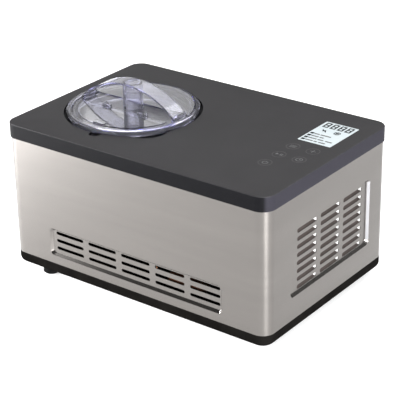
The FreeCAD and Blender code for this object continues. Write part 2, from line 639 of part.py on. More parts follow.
def make_cooling_pot():
    body = new_body("cooling_pot", "pot_x", "pot_y")
    outer = "pot_radius+pot_wall"
    revolve(body, [("pot_hole", "pot_bottom"), (outer, "pot_bottom"), (outer, "collar_bottom-pot_wall"),
                   ("pot_flange", "collar_bottom-pot_wall"), ("pot_flange", "collar_bottom"),
                   ("pot_radius", "collar_bottom"), ("pot_radius", "pot_bottom+pot_wall"),
                   ("pot_hole", "pot_bottom+pot_wall")])


def make_insulation():
    body = new_body("insulation_foam", "pot_x", "pot_y")
    revolve(body, [("shaft_bore", "foam_low"), ("foam_radius", "foam_low"), ("foam_radius", "foam_high"),
                   ("foam_bore", "foam_high"), ("foam_bore", "foam_floor"), ("shaft_bore", "foam_floor")])
    gap = new_sketch(body, "XY_Plane", "foam_high")
    rounded(gap, "foam_bore-4", "foam_radius+4", "-foam_gap/2", "foam_gap/2", "1")
    extrude(body, "Pocket", gap, "foam_high-foam_floor-3")


def make_evaporator():
    """A climbing coil: straight-sided turns whose corners are rounded until they are almost circles."""
    side_turn = 2 * math.pi / COIL_SIDES
    middle = size("coil_radius")
    corner = middle / math.cos(side_turn / 2)
    rise = size("coil_pitch") / COIL_SIDES
    total = int(size("coil_turns")) * COIL_SIDES
    points = [(middle, 0, 0)]
    for step in range(total):
        angle = side_turn * (step + 0.5)
        points.append((corner * math.cos(angle), corner * math.sin(angle), rise * (step + 0.5)))
    points.append((middle, 0, rise * total))
    coil = tube(route(points, size("coil_bend")), size("coil_tube"))
    sub_part(feature(coil, size("pot_x"), size("pot_y"), size("coil_low")), "evaporator_coil")


def make_bowl():
    body = new_body("bowl", "pot_x", "pot_y")
    inner = "bowl_radius-bowl_wall"
    floor = "bowl_bottom+bowl_wall"
    shell = revolve(body, [("tube_bore", "bowl_bottom"), ("bowl_radius", "bowl_bottom"),
                           ("bowl_radius", "bowl_rim_low"), ("bowl_rim", "bowl_rim_low"),
                           ("bowl_rim", "bowl_top"), (inner, "bowl_top"), (inner, floor),
                           ("tube_radius", floor), ("tube_radius", "tube_top"), ("tube_bore", "tube_top")])
    lower = size("bowl_radius") - size("bowl_wall")

    def inner_corner(edge):
        return level(measure(floor))(edge) and abs(edge.Curve.Radius - lower) < 1e-4

    round_edges(body, shell, "5", lambda edge: hasattr(edge.Curve, "Radius") and inner_corner(edge))
    holes = new_sketch(body, "YZ_Plane", "-bowl_radius-1")
    circle(holes, "0", "bail_z", "bail_hole")
    extrude(body, "Pocket", holes, "2*bowl_radius+2", backwards=True)


def make_bowl_handle():
    arch = doc.addObject("Part::Torus", fresh("bail"))
    bind(arch, Radius1="bail_radius", Radius2="bail_wire")
    arch.Angle3 = 180.0
    place(arch, "pot_x", "pot_y", "bail_z")
    grip = cylinder("bail_grip", "grip_length", "pot_x-grip_length/2", "pot_y+bail_radius-bail_wire",
                    "bail_z", "X")
    pieces = [arch, grip]
    for side in ("-", "+"):
        pieces.append(box("bail_eye", "bail_eye_depth", "bail_eye", "pot_x%sbail_radius-bail_eye/2" % side,
                          "pot_y-bail_eye_depth/2", "bail_z-bail_eye/2"))
    reach = "bowl_radius-0.2-bail_radius"
    pieces.append(cylinder("bail_pin", reach, "pot_x-bowl_radius+0.2", "pot_y", "bail_z", "X"))
    pieces.append(cylinder("bail_pin", reach, "pot_x+bail_radius", "pot_y", "bail_z", "X"))
    sub_part(fuse(*pieces), "bowl_handle")


def make_paddle():
    body = new_body("paddle", "pot_x", "pot_y", turn=size("paddle_angle"))
    revolve(body, [("0", "paddle_low"), ("paddle_hub", "paddle_low"), ("paddle_hub", "tube_top+8"),
                   ("paddle_hub-4", "paddle_high-14"), ("0", "paddle_high-14")])
    blade = new_sketch(body, "XZ_Plane")
    polygon(blade, [("-paddle_reach", "paddle_low+6"), ("-paddle_reach+6", "paddle_low"),
                    ("paddle_reach-6", "paddle_low"), ("paddle_reach", "paddle_low+6"),
                    ("paddle_reach", "paddle_high-18"), ("paddle_reach-9", "paddle_high-8"),
                    ("paddle_reach-16", "paddle_high-20"), ("5", "paddle_high-24"),
                    ("-5", "paddle_high-24"), ("-paddle_reach+24", "paddle_high"),
                    ("-paddle_reach+8", "paddle_high"), ("-paddle_reach", "paddle_high-10")])
    extrude(body, "Pad", blade, "paddle_blade", midplane=True)
    windows = new_sketch(body, "XZ_Plane", "-paddle_blade")
    rounded(windows, "paddle_hub+6", "paddle_reach-10", "paddle_low+12", "paddle_low+34", "6")
    rounded(windows, "paddle_hub+6", "paddle_reach-10", "paddle_low+40", "paddle_high-36", "6")
    rounded(windows, "-paddle_reach+14", "-paddle_hub-10", "paddle_low+14", "paddle_low+40", "8")
    extrude(body, "Pocket", windows, "2*paddle_blade", backwards=True)
    bore = new_sketch(body, "XY_Plane", "paddle_low")
    circle(bore, "0", "0", "paddle_bore")
    extrude(body, "Pocket", bore, "shaft_shoulder+0.3-paddle_low", backwards=True)
    socket = new_sketch(body, "XY_Plane", "paddle_low")
    half = "paddle_socket/2"
    rounded(socket, "-" + half, half, "-" + half, half, "0.4")
    extrude(body, "Pocket", socket, "shaft_tip+0.6-paddle_low", backwards=True)


def make_lid():
    """A disc whose rear half rises as a shallow ramp, inside a rim that laps over the well."""
    body = new_body("lid", "pot_x", "pot_y")
    ramp = new_sketch(body, "XY_Plane", "lid_disc_low")
    circle(ramp, "0", "0", "ramp_radius")
    extrude(body, "Pad", ramp, "ramp_rear_top-lid_disc_low")
    above = new_sketch(body, "YZ_Plane")
    polygon(above, [("-ramp_radius-1", "lid_disc_top"), ("ramp_front", "lid_disc_top"),
                    ("ramp_front", "ramp_front_top"), ("ramp_radius+1", "ramp_rear_top"),
                    ("ramp_radius+1", "ramp_rear_top+3"), ("-ramp_radius-1", "ramp_rear_top+3")])
    extrude(body, "Pocket", above, "2*ramp_radius+2", midplane=True)
    rim = "lid_radius-lid_wall"
    under = "lid_rim_top-2.4"
    revolve(body, [("0", "lid_disc_low"), ("lid_skirt_radius-lid_wall", "lid_disc_low"),
                   ("lid_skirt_radius-lid_wall", "lid_skirt_low"), ("lid_skirt_radius", "lid_skirt_low"),
                   ("lid_skirt_radius", "lid_disc_low"), ("rim_under", "lid_disc_low"),
                   ("rim_under_top", under), (rim, under), (rim, "lid_low"),
                   ("lid_radius-rim_foot_inset", "lid_low"), ("lid_radius", "rim_foot"),
                   ("lid_radius", "lid_rim_top-rim_bevel"), ("lid_radius-rim_bevel", "lid_rim_top"),
                   ("rim_inner", "lid_rim_top"), ("rim_slope", "lid_disc_top"), ("0", "lid_disc_top")])
    lugs = new_sketch(body, "XY_Plane", "lid_disc_low")
    for low, high in (("knuckle_end+0.4", "lug_end"), ("-lug_end", "-knuckle_end-0.4")):
        rounded(lugs, low, high, "-hinge_y-2", "-flap_chord+4", "0.5")
    extrude(body, "Pad", lugs, "hinge_z+2-lid_disc_low")
    rebate = new_sketch(body, "XY_Plane", "lid_disc_top")
    disc_segment(rebate, "flap_radius", "flap_chord+0.3")
    rebate_cut = extrude(body, "Pocket", rebate, "lid_disc_top-flap_rebate")
    rebate_cut.Label = "flap_rebate_cut"
    mouth = new_sketch(body, "XY_Plane", "lid_disc_top")
    disc_segment(mouth, "flap_radius-flap_ledge", "flap_chord+6")
    extrude(body, "Pocket", mouth, "lid_disc_top-lid_disc_low+1")
    holes = new_sketch(body, "YZ_Plane", "-lug_end-1")
    circle(holes, "-hinge_y", "hinge_z", "hinge_pin")
    extrude(body, "Pocket", holes, "2*lug_end+2", backwards=True)


def make_refill_flap():
    body = new_body("refill_flap", "pot_x", "pot_y")
    plate = new_sketch(body, "XY_Plane", "flap_low")
    disc_segment(plate, "flap_radius-0.4", "flap_chord+0.7")
    slab = extrude(body, "Pad", plate, "flap_top-flap_low")

    def standing(edge):
        return abs(edge.Vertexes[0].Z - edge.Vertexes[-1].Z) > size("flap_top") - size("flap_low") - 0.01

    round_edges(body, slab, "flap_corner", standing)
    tab = new_sketch(body, "XY_Plane", "flap_top-0.4")
    rounded(tab, "-flap_tab", "flap_tab", "-flap_radius+1.2", "-flap_radius+9", "3")
    extrude(body, "Pad", tab, "flap_tab_rise+0.4")
    notches = new_sketch(body, "XY_Plane", "flap_top")
    for low, high in (("knuckle_end+0.1", "lug_end+0.4"), ("-lug_end-0.4", "-knuckle_end-0.1")):
        rounded(notches, low, high, "-hinge_y-2.6", "-flap_chord+2", "0.4")
    extrude(body, "Pocket", notches, "flap_top-flap_low+1")
    for start in ("knuckle_start", "-knuckle_end"):
        knuckle = new_sketch(body, "YZ_Plane", start)
        circle(knuckle, "-hinge_y", "hinge_z", "knuckle_radius")
        extrude(body, "Pad", knuckle, "knuckle_end-knuckle_start")
    bore = new_sketch(body, "YZ_Plane", "-lug_end")
    circle(bore, "-hinge_y", "hinge_z", "hinge_pin+0.06")
    extrude(body, "Pocket", bore, "2*lug_end", backwards=True)
    pins = [cylinder("hinge_pin", "lug_end-knuckle_start", "pot_x+" + start, "pot_y-hinge_y", "hinge_z", "X")
            for start in ("knuckle_start", "(-lug_end)")]
    sub_part(group(pins), "flap_pins")


def make_lid_handle():
    """A flat arch across the lid, on two feet and a hollow post."""
    radius = size("arch_radius")
    thickness = size("arch_thickness")
    centre = size("arch_top") - radius
    width = size("arch_width")
    foot = size("arch_foot")
    base = size("lid_disc_top")
    middle = Vector(0, -width / 2, centre)
    outer = Part.makeCylinder(radius, width, middle, Vector(0, 1, 0))
    inner = Part.makeCylinder(radius - thickness, width, middle, Vector(0, 1, 0))
    space = Part.makeCylinder(foot + 1, size("arch_top") - base, Vector(0, 0, base))
    feet = []
    for side in (-1, 1):
        low = min(side * foot, side * (foot - size("arch_foot_width")))
        corner = Vector(low, -width / 2, base)
        feet.append(Part.makeBox(size("arch_foot_width"), width, size("arch_foot_top") - base, corner))
    legs = feet[0].fuse(feet[1]).common(outer)
    post = Part.makeCylinder(size("grip_post"), size("arch_top") - base, Vector(0, 0, base)).common(outer)
    bore = Part.makeCylinder(size("grip_bore"), size("arch_top"), Vector(0, 0, base))
    shape = outer.cut(inner).fuse([legs, post]).common(space).cut(bore)
    shape = shape.removeSplitter()
    sub_part(feature(shape, size("pot_x"), size("pot_y")), "lid_handle")
    cap = Part.makeCylinder(size("grip_bore") - 0.15, 4, Vector(0, 0, size("arch_top") - 4)).common(outer)
    sub_part(feature(cap, size("pot_x"), size("pot_y")), "handle_cap")


# ---------------------------------------------------------------- drive

def gear_shape(teeth, height, bore, turn):
    """A spur gear blank with straight-flanked teeth; turn is half a tooth pitch where it must mesh."""
    module = size("tooth_module")
    pitch = teeth * module / 2
    profile = ((pitch - 1.2 * module, 0.33), (pitch, 0.23), (pitch + 0.8 * module, 0.11))
    points = []
    for tooth in range(int(teeth)):
        middle = 2 * math.pi * tooth / teeth + math.radians(turn)
        flank = [(radius, -share) for radius, share in profile]
        flank += [(radius, share) for radius, share in reversed(profile)]
        for radius, share in flank:
            angle = middle + share * 2 * math.pi / teeth
            points.append(Vector(radius * math.cos(angle), radius * math.sin(angle), 0))
    solid = Part.Face(Part.makePolygon(points + points[:1])).extrude(Vector(0, 0, height))
    return solid.cut(Part.makeCylinder(bore, height)) if bore else solid


def make_gears():
    x, y, step = size("pot_x"), size("pot_y"), size("gear_step")
    teeth, small = size("gear_teeth"), size("pinion_teeth")
    mesh = 180 / small
    wheel = gear_shape(teeth, size("wheel_face"), size("shaft_radius"), 0)
    sub_part(feature(wheel, x, y, size("wheel_low")), "output_gear")
    large = gear_shape(teeth, size("idler_face"), size("idler_bore"), 0)
    cluster = gear_shape(small, size("idler_small_face"), size("idler_bore"), mesh)
    idler = large.fuse(cluster.translated(Vector(0, 0, size("idler_face"))))
    sub_part(feature(idler, x + step, y, size("idler_low")), "idler_gear")
    pinion = gear_shape(small, size("pinion_face"), size("rotor_radius"), mesh)
    sub_part(feature(pinion, x + 2 * step, y, size("pinion_low")), "motor_pinion")


def make_drive_shaft():
    round_bar = Part.makeCylinder(size("shaft_radius"), size("shaft_shoulder") - size("shaft_low"))
    round_bar.translate(Vector(0, 0, size("shaft_low")))
    side = size("tip_side")
    tip = Part.makeBox(side, side, size("shaft_tip") - size("shaft_shoulder"))
    tip.translate(Vector(-side / 2, -side / 2, size("shaft_shoulder")))
    shape = round_bar.fuse(tip)
    sub_part(feature(shape, size("pot_x"), size("pot_y"), 0, size("paddle_angle")), "drive_shaft")


def make_gearbox():
    left, half = "pot_x-gearbox_left", "gearbox_half"
    length = "gearbox_left+gearbox_right"
    height = "gearbox_high-gearbox_low"
    shell = box(length, "2*gearbox_half", height, left, "pot_y-" + half, "gearbox_low")
    hollow = box(length + "-2*gearbox_wall", "2*gearbox_half-2*gearbox_wall", height,
                 left + "+gearbox_wall", "pot_y-gearbox_half+gearbox_wall", "gearbox_low+gearbox_wall")
    hole = cylinder("rotor_radius+0.5", 6, "pot_x+2*gear_step", "pot_y", "gearbox_low-2")
    corners = [(x, y) for x in (left + "+4", "pot_x+gearbox_right-4")
               for y in ("pot_y-gearbox_half+4", "pot_y+gearbox_half-4")]
    pillars = [cylinder("4", height, x, y, "gearbox_low") for x, y in corners]
    legs = [cylinder("5", "gearbox_low-tray_bottom-tray_floor", x, y, "tray_bottom+tray_floor")
            for x, y in corners]
    drilled = [cylinder("1.4", 12, x, y, "gearbox_high-12") for x, y in corners]
    sub_part(cut(fuse(cut(shell, hollow), *pillars, *legs), hole, *drilled), "gearbox_housing")
    plate = box(length, "2*gearbox_half", "gearbox_lid", left, "pot_y-" + half, "gearbox_high")
    openings = [cylinder("bush_radius", 4, "pot_x", "pot_y", "gearbox_high-1")]
    openings.append(cylinder("idler_pin_radius", 4, "pot_x+gear_step", "pot_y", "gearbox_high-1"))
    openings += [cylinder("m3_hole", 4, x, y, "gearbox_high-1") for x, y in corners]
    sub_part(cut(plate, *openings), "gearbox_cover")
    screws = [fuse(cylinder("2.6", 0.8, x, y, "gearbox_high+gearbox_lid"),
                   cylinder("1.3", 11, x, y, "gearbox_high+gearbox_lid-11")) for x, y in corners]
    sub_part(group(screws), "gearbox_screws")
    pin = cylinder("idler_pin_radius", "gearbox_high+gearbox_lid-gearbox_low-gearbox_wall",
                   "pot_x+gear_step", "pot_y", "gearbox_low+gearbox_wall")
    sub_part(pin, "idler_pin")
    bore = "shaft_radius+shaft_clearance"
    bushes = []
    for low, rise in (("gearbox_low+gearbox_wall", "bush_height"), ("gearbox_high-2", "gearbox_lid+2")):
        ring = cylinder("bush_radius", rise, "pot_x", "pot_y", low)
        bushes.append(cut(ring, cylinder(bore, rise, "pot_x", "pot_y", low)))
    sub_part(group(bushes), "shaft_bushes")
    seal = cut(cylinder("pot_hole", "seal_height", "pot_x", "pot_y", "pot_bottom-seal_drop"),
               cylinder(bore, "seal_height", "pot_x", "pot_y", "pot_bottom-seal_drop"))
    sub_part(seal, "shaft_seal")


def make_motor():
    x = "pot_x+2*gear_step"
    can = cylinder("motor_radius", "gearbox_low-motor_low", x, "pot_y", "motor_low")
    core = cylinder("motor_radius-motor_wall", "gearbox_low-motor_low-4", x, "pot_y", "motor_low+2")
    neck = cylinder("rotor_radius+shaft_clearance", 6, x, "pot_y", "gearbox_low-4")
    sub_part(cut(can, core, neck), "motor_can")
    magnet = cylinder("motor_radius-motor_wall-rotor_gap", "gearbox_low-motor_low-6", x, "pot_y",
                      "motor_low+3")
    spindle = cylinder("rotor_radius", "spindle_top-gearbox_low+4", x, "pot_y", "gearbox_low-4")
    sub_part(fuse(magnet, spindle), "motor_rotor")


# ---------------------------------------------------------------- refrigeration

def make_compressor():
    lip = "comp_radius+seam_lip"
    lower = new_body("compressor_lower_shell", "comp_x", "comp_y")
    revolve(lower, [("0", "comp_low"), ("comp_radius-16", "comp_low"), ("comp_radius", "comp_low+14"),
                    ("comp_radius", "comp_seam-seam_height"), (lip, "comp_seam-seam_height"),
                    (lip, "comp_seam"), ("comp_core", "comp_seam"),
                    ("comp_core", "comp_low+comp_floor"), ("0", "comp_low+comp_floor")])
    upper = new_body("compressor_upper_shell", "comp_x", "comp_y")
    revolve(upper, [("0", "comp_high-comp_roof"), ("comp_core", "comp_high-comp_roof"),
                    ("comp_core", "comp_seam"), (lip, "comp_seam"), (lip, "comp_seam+seam_height"),
                    ("comp_radius", "comp_seam+seam_height"), ("comp_radius", "comp_high-16"),
                    ("comp_radius-14", "comp_high"), ("0", "comp_high")])
    places = [("comp_x%scomp_plate_x" % a, "comp_y%scomp_plate_y" % b) for a in "-+" for b in "-+"]
    plate = new_body("compressor_base_plate")
    outline = new_sketch(plate, "XY_Plane", "comp_low-comp_plate")
    rounded(outline, "comp_x-comp_plate_x-comp_margin", "comp_x+comp_plate_x+comp_margin",
            "comp_y-comp_plate_y-comp_margin", "comp_y+comp_plate_y+comp_margin", "comp_margin")
    for x, y in places:
        circle(outline, x, y, "grommet_neck")
    extrude(plate, "Pad", outline, "comp_plate")
    grommets = []
    bolts = []
    floor = "tray_bottom+tray_floor"
    below = "comp_low-comp_plate-tray_bottom-tray_floor"
    stem = "comp_low+grommet_lip-tray_bottom-tray_floor"
    for x, y in places:
        foot = cylinder("grommet_radius", below, x, y, floor)
        neck = cylinder("grommet_neck", "comp_plate", x, y, "comp_low-comp_plate")
        collar = cylinder("grommet_radius", "grommet_lip", x, y, "comp_low")
        grommets.append(cut(fuse(foot, neck, collar), cylinder("grommet_bore", stem, x, y, floor)))
        head = cylinder("grommet_neck", "grommet_lip", x, y, "comp_low+grommet_lip")
        bolts.append(fuse(cylinder("grommet_bore-0.1", stem, x, y, floor), head))
    sub_part(group(grommets), "compressor_grommets")
    sub_part(group(bolts), "compressor_bolts")
    hood = box("hood_width", "hood_depth", "hood_height", "comp_x-hood_width/2",
               "comp_y-comp_radius-hood_reach", "comp_seam-hood_drop")
    shell = cylinder("comp_radius+0.2", "hood_height+10", "comp_x", "comp_y", "comp_seam-hood_drop-5")
    sub_part(cut(hood, shell), "compressor_terminal_cover")


def make_condenser():
    fin = Part.makeBox(size("fin_width"), size("fin_thickness"), size("cond_high") - size("cond_low"))
    left = size("cond_x") - size("fin_width") / 2
    half = size("cond_half")
    passes = [size("pass_low") + size("pass_pitch") * row for row in range(int(size("pass_count")))]
    holes = [Part.makeCylinder(size("cond_tube") + 0.2, 2 * half + 20, Vector(size("cond_x"), -half - 10, z),
                               Vector(0, 1, 0)) for z in passes]
    blanks = []
    for number in range(int(size("fin_count"))):
        y = -half + 2 * half * number / (size("fin_count") - 1)
        blanks.append(fin.translated(Vector(left, y - size("fin_thickness") / 2, size("cond_low"))))
    floor = size("tray_bottom") + size("tray_floor")
    thick = size("end_plate")
    for y in (-half - 2 * thick, half + thick):
        plate = Part.makeBox(size("fin_width"), thick, size("cond_high") - floor)
        blanks.append(plate.translated(Vector(left, y, floor)))
    fins = [blank.cut(holes) for blank in blanks]
    sub_part(feature(Part.makeCompound(fins)), "condenser_fins")
    points = []
    turn = half + 2 + size("pass_pitch") / 2
    side = 1
    points.append((size("cond_x"), half + 6, passes[-1]))
    for z, below in zip(reversed(passes), list(reversed(passes))[1:]):
        side = -side
        points += [(size("cond_x"), side * turn, z), (size("cond_x"), side * turn, below)]
    points += [(size("cond_x"), -size("line_y"), passes[0]), (size("tail_end"), -size("line_y"), passes[0])]
    path = route(points, size("pass_pitch") / 2 - 0.02)
    sub_part(feature(tube(path, size("cond_tube"))), "condenser_tube")


def make_lines():
    top_pass = size("pass_low") + size("pass_pitch") * (size("pass_count") - 1)
    comp_x, comp_y, comp_r = size("comp_x"), size("comp_y"), size("comp_radius")
    cond_x, pot_y, low_pass = size("cond_x"), size("pot_y"), size("pass_low")
    start = size("pot_x") + size("foam_bore")
    behind, rise = size("line_y"), size("discharge_z")
    discharge = [(comp_x, comp_y + comp_r + 0.2, rise), (comp_x, behind, rise), (cond_x, behind, rise),
                 (cond_x, behind, top_pass), (cond_x, size("cond_half") + 6.1, top_pass)]
    bent = tube(route(discharge, size("discharge_bend")), size("line_tube"))
    sub_part(feature(bent), "discharge_line")
    turn_x, high = size("suction_x"), size("suction_z")
    suction = [(start, pot_y, high), (turn_x, pot_y, high), (turn_x, pot_y, size("comp_high") + 0.1)]
    bent = tube(route(suction, size("suction_bend")), size("suction_tube"))
    sub_part(feature(bent), "suction_line")
    turn_x, high = size("capillary_x"), size("capillary_z")
    beside = pot_y - 4
    thin = [(size("capillary_start"), -behind, low_pass), (turn_x, -behind, low_pass),
            (turn_x, -behind, high), (turn_x, beside, high), (start, beside, high)]
    bent = tube(route(thin, size("capillary_bend")), size("capillary"))
    sub_part(feature(bent), "capillary_tube")
    drier = fuse(cylinder("drier_radius", "drier_length", "drier_x", "-line_y", "pass_low", "X"),
                 cone("drier_outlet", "drier_radius", "drier_cone", "drier_x-drier_cone", "-line_y",
                      "pass_low", "X"),
                 cone("drier_radius", "drier_inlet", "drier_cone-0.1", "drier_x+drier_length", "-line_y",
                      "pass_low", "X"))
    sub_part(drier, "filter_drier")


def make_fan():
    floor = "tray_bottom+tray_floor"
    frame = box("shroud_depth", "2*shroud_half", "fan_z+shroud_half-tray_bottom-tray_floor",
                "shroud_x", "-shroud_half", floor)
    bore = cylinder("fan_bore", "shroud_depth+2", "shroud_x-1", "0", "fan_z", "X")
    arm_x = "shroud_x-spider_depth"
    spider = fuse(box("spider_depth", "2*shroud_half", "spider_width", arm_x, "-shroud_half",
                      "fan_z-spider_width/2"),
                  box("spider_depth", "spider_width", "2*shroud_half", arm_x, "-spider_width/2",
                      "fan_z-shroud_half"))
    axle = cylinder("axle_radius+0.5", "30", "shroud_x-10", "0", "fan_z", "X")
    sub_part(cut(fuse(cut(frame, bore), spider), axle), "fan_shroud")
    can = cylinder("fan_motor_radius", arm_x + "-fan_motor_x", "fan_motor_x", "0", "fan_z", "X")
    sub_part(cut(can, cylinder("axle_radius+0.06", "12", "fan_motor_x+3", "0", "fan_z", "X")), "fan_motor")
    sub_part(cylinder("axle_radius", "28", "fan_motor_x+4", "0", "fan_z", "X"), "fan_shaft")
    forward = Vector(1, 0, 0)
    count, thick, chord = int(size("blade_count")), size("blade_thickness"), size("blade_chord")
    hub = Part.makeCylinder(size("fan_hub"), size("hub_depth"), Vector(0, 0, 0), forward)
    blades = []
    for number in range(count):
        root = Part.makeBox(thick, chord, size("fan_radius") - size("fan_hub") + 2)
        root.translate(Vector((size("hub_depth") - thick) / 2, -chord / 2, size("fan_hub") - 2))
        root.rotate(Vector(size("hub_depth") / 2, 0, 0), Vector(0, 0, 1), size("blade_twist"))
        root.rotate(Vector(0, 0, 0), forward, number * 360 / count)
        blades.append(root)
    behind = (size("hub_depth") - size("fan_depth")) / 2
    rim = Part.makeCylinder(size("fan_radius"), size("fan_depth"), Vector(behind, 0, 0), forward)
    hole = Part.makeCylinder(size("axle_radius"), size("hub_depth") + 1, Vector(0, 0, 0), forward)
    blower = hub.fuse(blades).common(rim).cut(hole)
    sub_part(feature(blower, size("shroud_x") + size("fan_gap"), 0, size("fan_z")), "fan_blade")


# ---------------------------------------------------------------- mains side

def make_power():
    board = box("psu_right-psu_left", "board_thickness", "psu_high-psu_low", "psu_left", "psu_y", "psu_low")
    rear = "cover_depth/2-cover_overhang"
    stand = [cylinder("standoff_radius", rear + "-psu_y-board_thickness", x, "psu_y+board_thickness", z, "Y")
             for x in ("psu_left+standoff_inset", "psu_right-standoff_inset")
             for z in ("psu_low+standoff_inset", "psu_high-standoff_inset")]
    sub_part(fuse(board, *stand), "power_board")
    parts = [box(name + "_width", name + "_depth", name + "_height", name + "_x",
                 "psu_y-%s_depth" % name, name + "_z")
             for name in ("transformer", "relay", "driver", "socket")]
    for x in ("capacitor_x", "capacitor_x+capacitor_pitch"):
        parts.append(cylinder("capacitor_radius", "capacitor_height", x, "psu_y-capacitor_height",
                              "capacitor_z", "Y"))
    sub_part(group(parts), "power_board_parts")
    half_x, half_z = "inlet_width/2+inlet_wall", "inlet_height/2+inlet_wall"
    inlet = new_body("power_inlet")
    flange = new_sketch(inlet, "XZ_Plane", "-(%s+steel_sheet)" % rear)
    rounded(flange, "inlet_x-inlet_width/2-inlet_flange", "inlet_x+inlet_width/2+inlet_flange",
            "inlet_z-inlet_height/2-inlet_flange", "inlet_z+inlet_height/2+inlet_flange", "2.5")
    extrude(inlet, "Pad", flange, "0.5", backwards=True)
    shell = new_sketch(inlet, "XZ_Plane", "-(%s+steel_sheet)" % rear)
    rounded(shell, "inlet_x-(%s)+0.1" % half_x, "inlet_x+%s-0.1" % half_x,
            "inlet_z-(%s)+0.1" % half_z, "inlet_z+%s-0.1" % half_z, "1.9")
    extrude(inlet, "Pad", shell, "inlet_depth+3")
    mouth = new_sketch(inlet, "XZ_Plane", "-cover_depth/2")
    rounded(mouth, "inlet_x-inlet_width/2", "inlet_x+inlet_width/2",
            "inlet_z-inlet_height/2", "inlet_z+inlet_height/2", "1.5")
    extrude(inlet, "Pocket", mouth, "inlet_depth", backwards=True)
    floor_y = "cover_depth/2-inlet_depth"
    pins = []
    for x, z in (("inlet_x-pin_spread", "inlet_z-pin_width"), ("inlet_x+pin_spread", "inlet_z-pin_width"),
                 ("inlet_x", "inlet_z+1.5*pin_width")):
        pins.append(box("pin_height", "pin_length", "pin_width", x + "-pin_height/2", floor_y,
                        z + "-pin_width/2"))
    sub_part(group(pins), "inlet_pins")


def check_and_export():
    """Stop if an object failed; otherwise write each piece to its own file."""
    doc.recompute()
    for obj in doc.Objects:
        if "Invalid" in obj.State or "Error" in obj.State:
            raise RuntimeError("%s failed: %s" % (obj.Label, obj.State))
    for obj in sub_parts:
        if obj.Shape.isNull() or not obj.Shape.isValid() or not obj.Shape.Solids:
            raise RuntimeError("%s has no valid solid" % obj.Label)
    os.makedirs("parts", exist_ok=True)
    for obj in sub_parts:
        obj.Shape.exportStep("parts/%s.step" % obj.Label)
        print("%-28s %2d solid(s) %12.1f mm3" % (obj.Label, len(obj.Shape.Solids), obj.Shape.Volume))


make_base_tray()
make_feet()
make_cover_posts()
make_housing_wrap()
make_rear_panel()
make_top_cover()
make_display()
make_cooling_pot()
make_insulation()
make_evaporator()
make_bowl()
make_bowl_handle()
make_paddle()
make_lid()
make_refill_flap()
make_lid_handle()
make_gears()
make_drive_shaft()
make_gearbox()
make_motor()
make_compressor()
make_condenser()
make_lines()
make_fan()
make_power()
check_and_export()
print(len(sub_parts), "pieces")
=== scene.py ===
import json
import math

import bmesh
import bpy
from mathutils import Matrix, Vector


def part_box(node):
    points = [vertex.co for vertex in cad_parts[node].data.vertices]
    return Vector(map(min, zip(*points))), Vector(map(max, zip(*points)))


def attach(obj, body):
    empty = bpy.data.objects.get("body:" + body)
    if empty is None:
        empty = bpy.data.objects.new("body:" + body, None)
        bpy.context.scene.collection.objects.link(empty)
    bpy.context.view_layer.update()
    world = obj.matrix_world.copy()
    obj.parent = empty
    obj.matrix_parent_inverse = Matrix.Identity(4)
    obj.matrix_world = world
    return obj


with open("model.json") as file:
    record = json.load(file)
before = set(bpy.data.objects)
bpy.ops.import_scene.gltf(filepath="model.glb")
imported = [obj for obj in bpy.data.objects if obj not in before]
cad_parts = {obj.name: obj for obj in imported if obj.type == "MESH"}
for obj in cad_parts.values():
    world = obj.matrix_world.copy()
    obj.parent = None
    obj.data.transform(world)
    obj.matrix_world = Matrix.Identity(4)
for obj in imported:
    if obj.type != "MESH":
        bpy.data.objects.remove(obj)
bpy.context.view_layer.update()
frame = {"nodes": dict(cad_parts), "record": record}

# Looks for the compressor ice cream maker. Metres, in the CAD's own frame.

NODES = frame["nodes"]
MM = 0.001
SMOOTH_ANGLE = math.radians(28)
WELD_DISTANCE = 0.00001


# ---------------------------------------------------------------- materials

class Shade:
    """A material's node tree, with short calls for what most of them need."""

    def __init__(self, name):
        self.material = bpy.data.materials.new(name)
        self.material.use_nodes = True
        self.tree = self.material.node_tree
        self.shader = self.tree.nodes["Principled BSDF"]
        self.output = self.tree.nodes["Material Output"]
        self.place = self.add("ShaderNodeTexCoord").outputs["Object"]

    def add(self, kind, links=(), values=(), **settings):
        node = self.tree.nodes.new(kind)
        for name, value in settings.items():
            setattr(node, name, value)
        for name, value in dict(values).items():
            node.inputs[name].default_value = value
        for name, source in dict(links).items():
            self.tree.links.new(source, node.inputs[name])
        return node

    def noise(self, scale, detail=2.0, stretch=(1, 1, 1), roughness=0.5):
        spread = self.add("ShaderNodeMapping", {"Vector": self.place}, {"Scale": stretch})
        made = self.add("ShaderNodeTexNoise", {"Vector": spread.outputs["Vector"]},
                        {"Scale": scale, "Detail": detail, "Roughness": roughness})
        return made.outputs["Fac"]

    def remap(self, source, low, high, start=0.3, stop=0.7):
        made = self.add("ShaderNodeMapRange", {"Value": source},
                        {"From Min": start, "From Max": stop, "To Min": low, "To Max": high})
        return made.outputs["Result"]

    def colour(self, source, first, second):
        """Two colours, mixed by a value from 0 to 1."""
        mixed = self.add("ShaderNodeMix", {0: source}, {6: (*first, 1), 7: (*second, 1)}, data_type="RGBA")
        return mixed.outputs[2]

    def wire(self, source, socket):
        self.tree.links.new(source, self.shader.inputs[socket])

    def bump(self, source, strength, distance):
        made = self.add("ShaderNodeBump", {"Height": source}, {"Strength": strength, "Distance": distance})
        self.wire(made.outputs["Normal"], "Normal")

    def fix(self, **values):
        for name, value in values.items():
            self.shader.inputs[name.replace("_", " ")].default_value = value


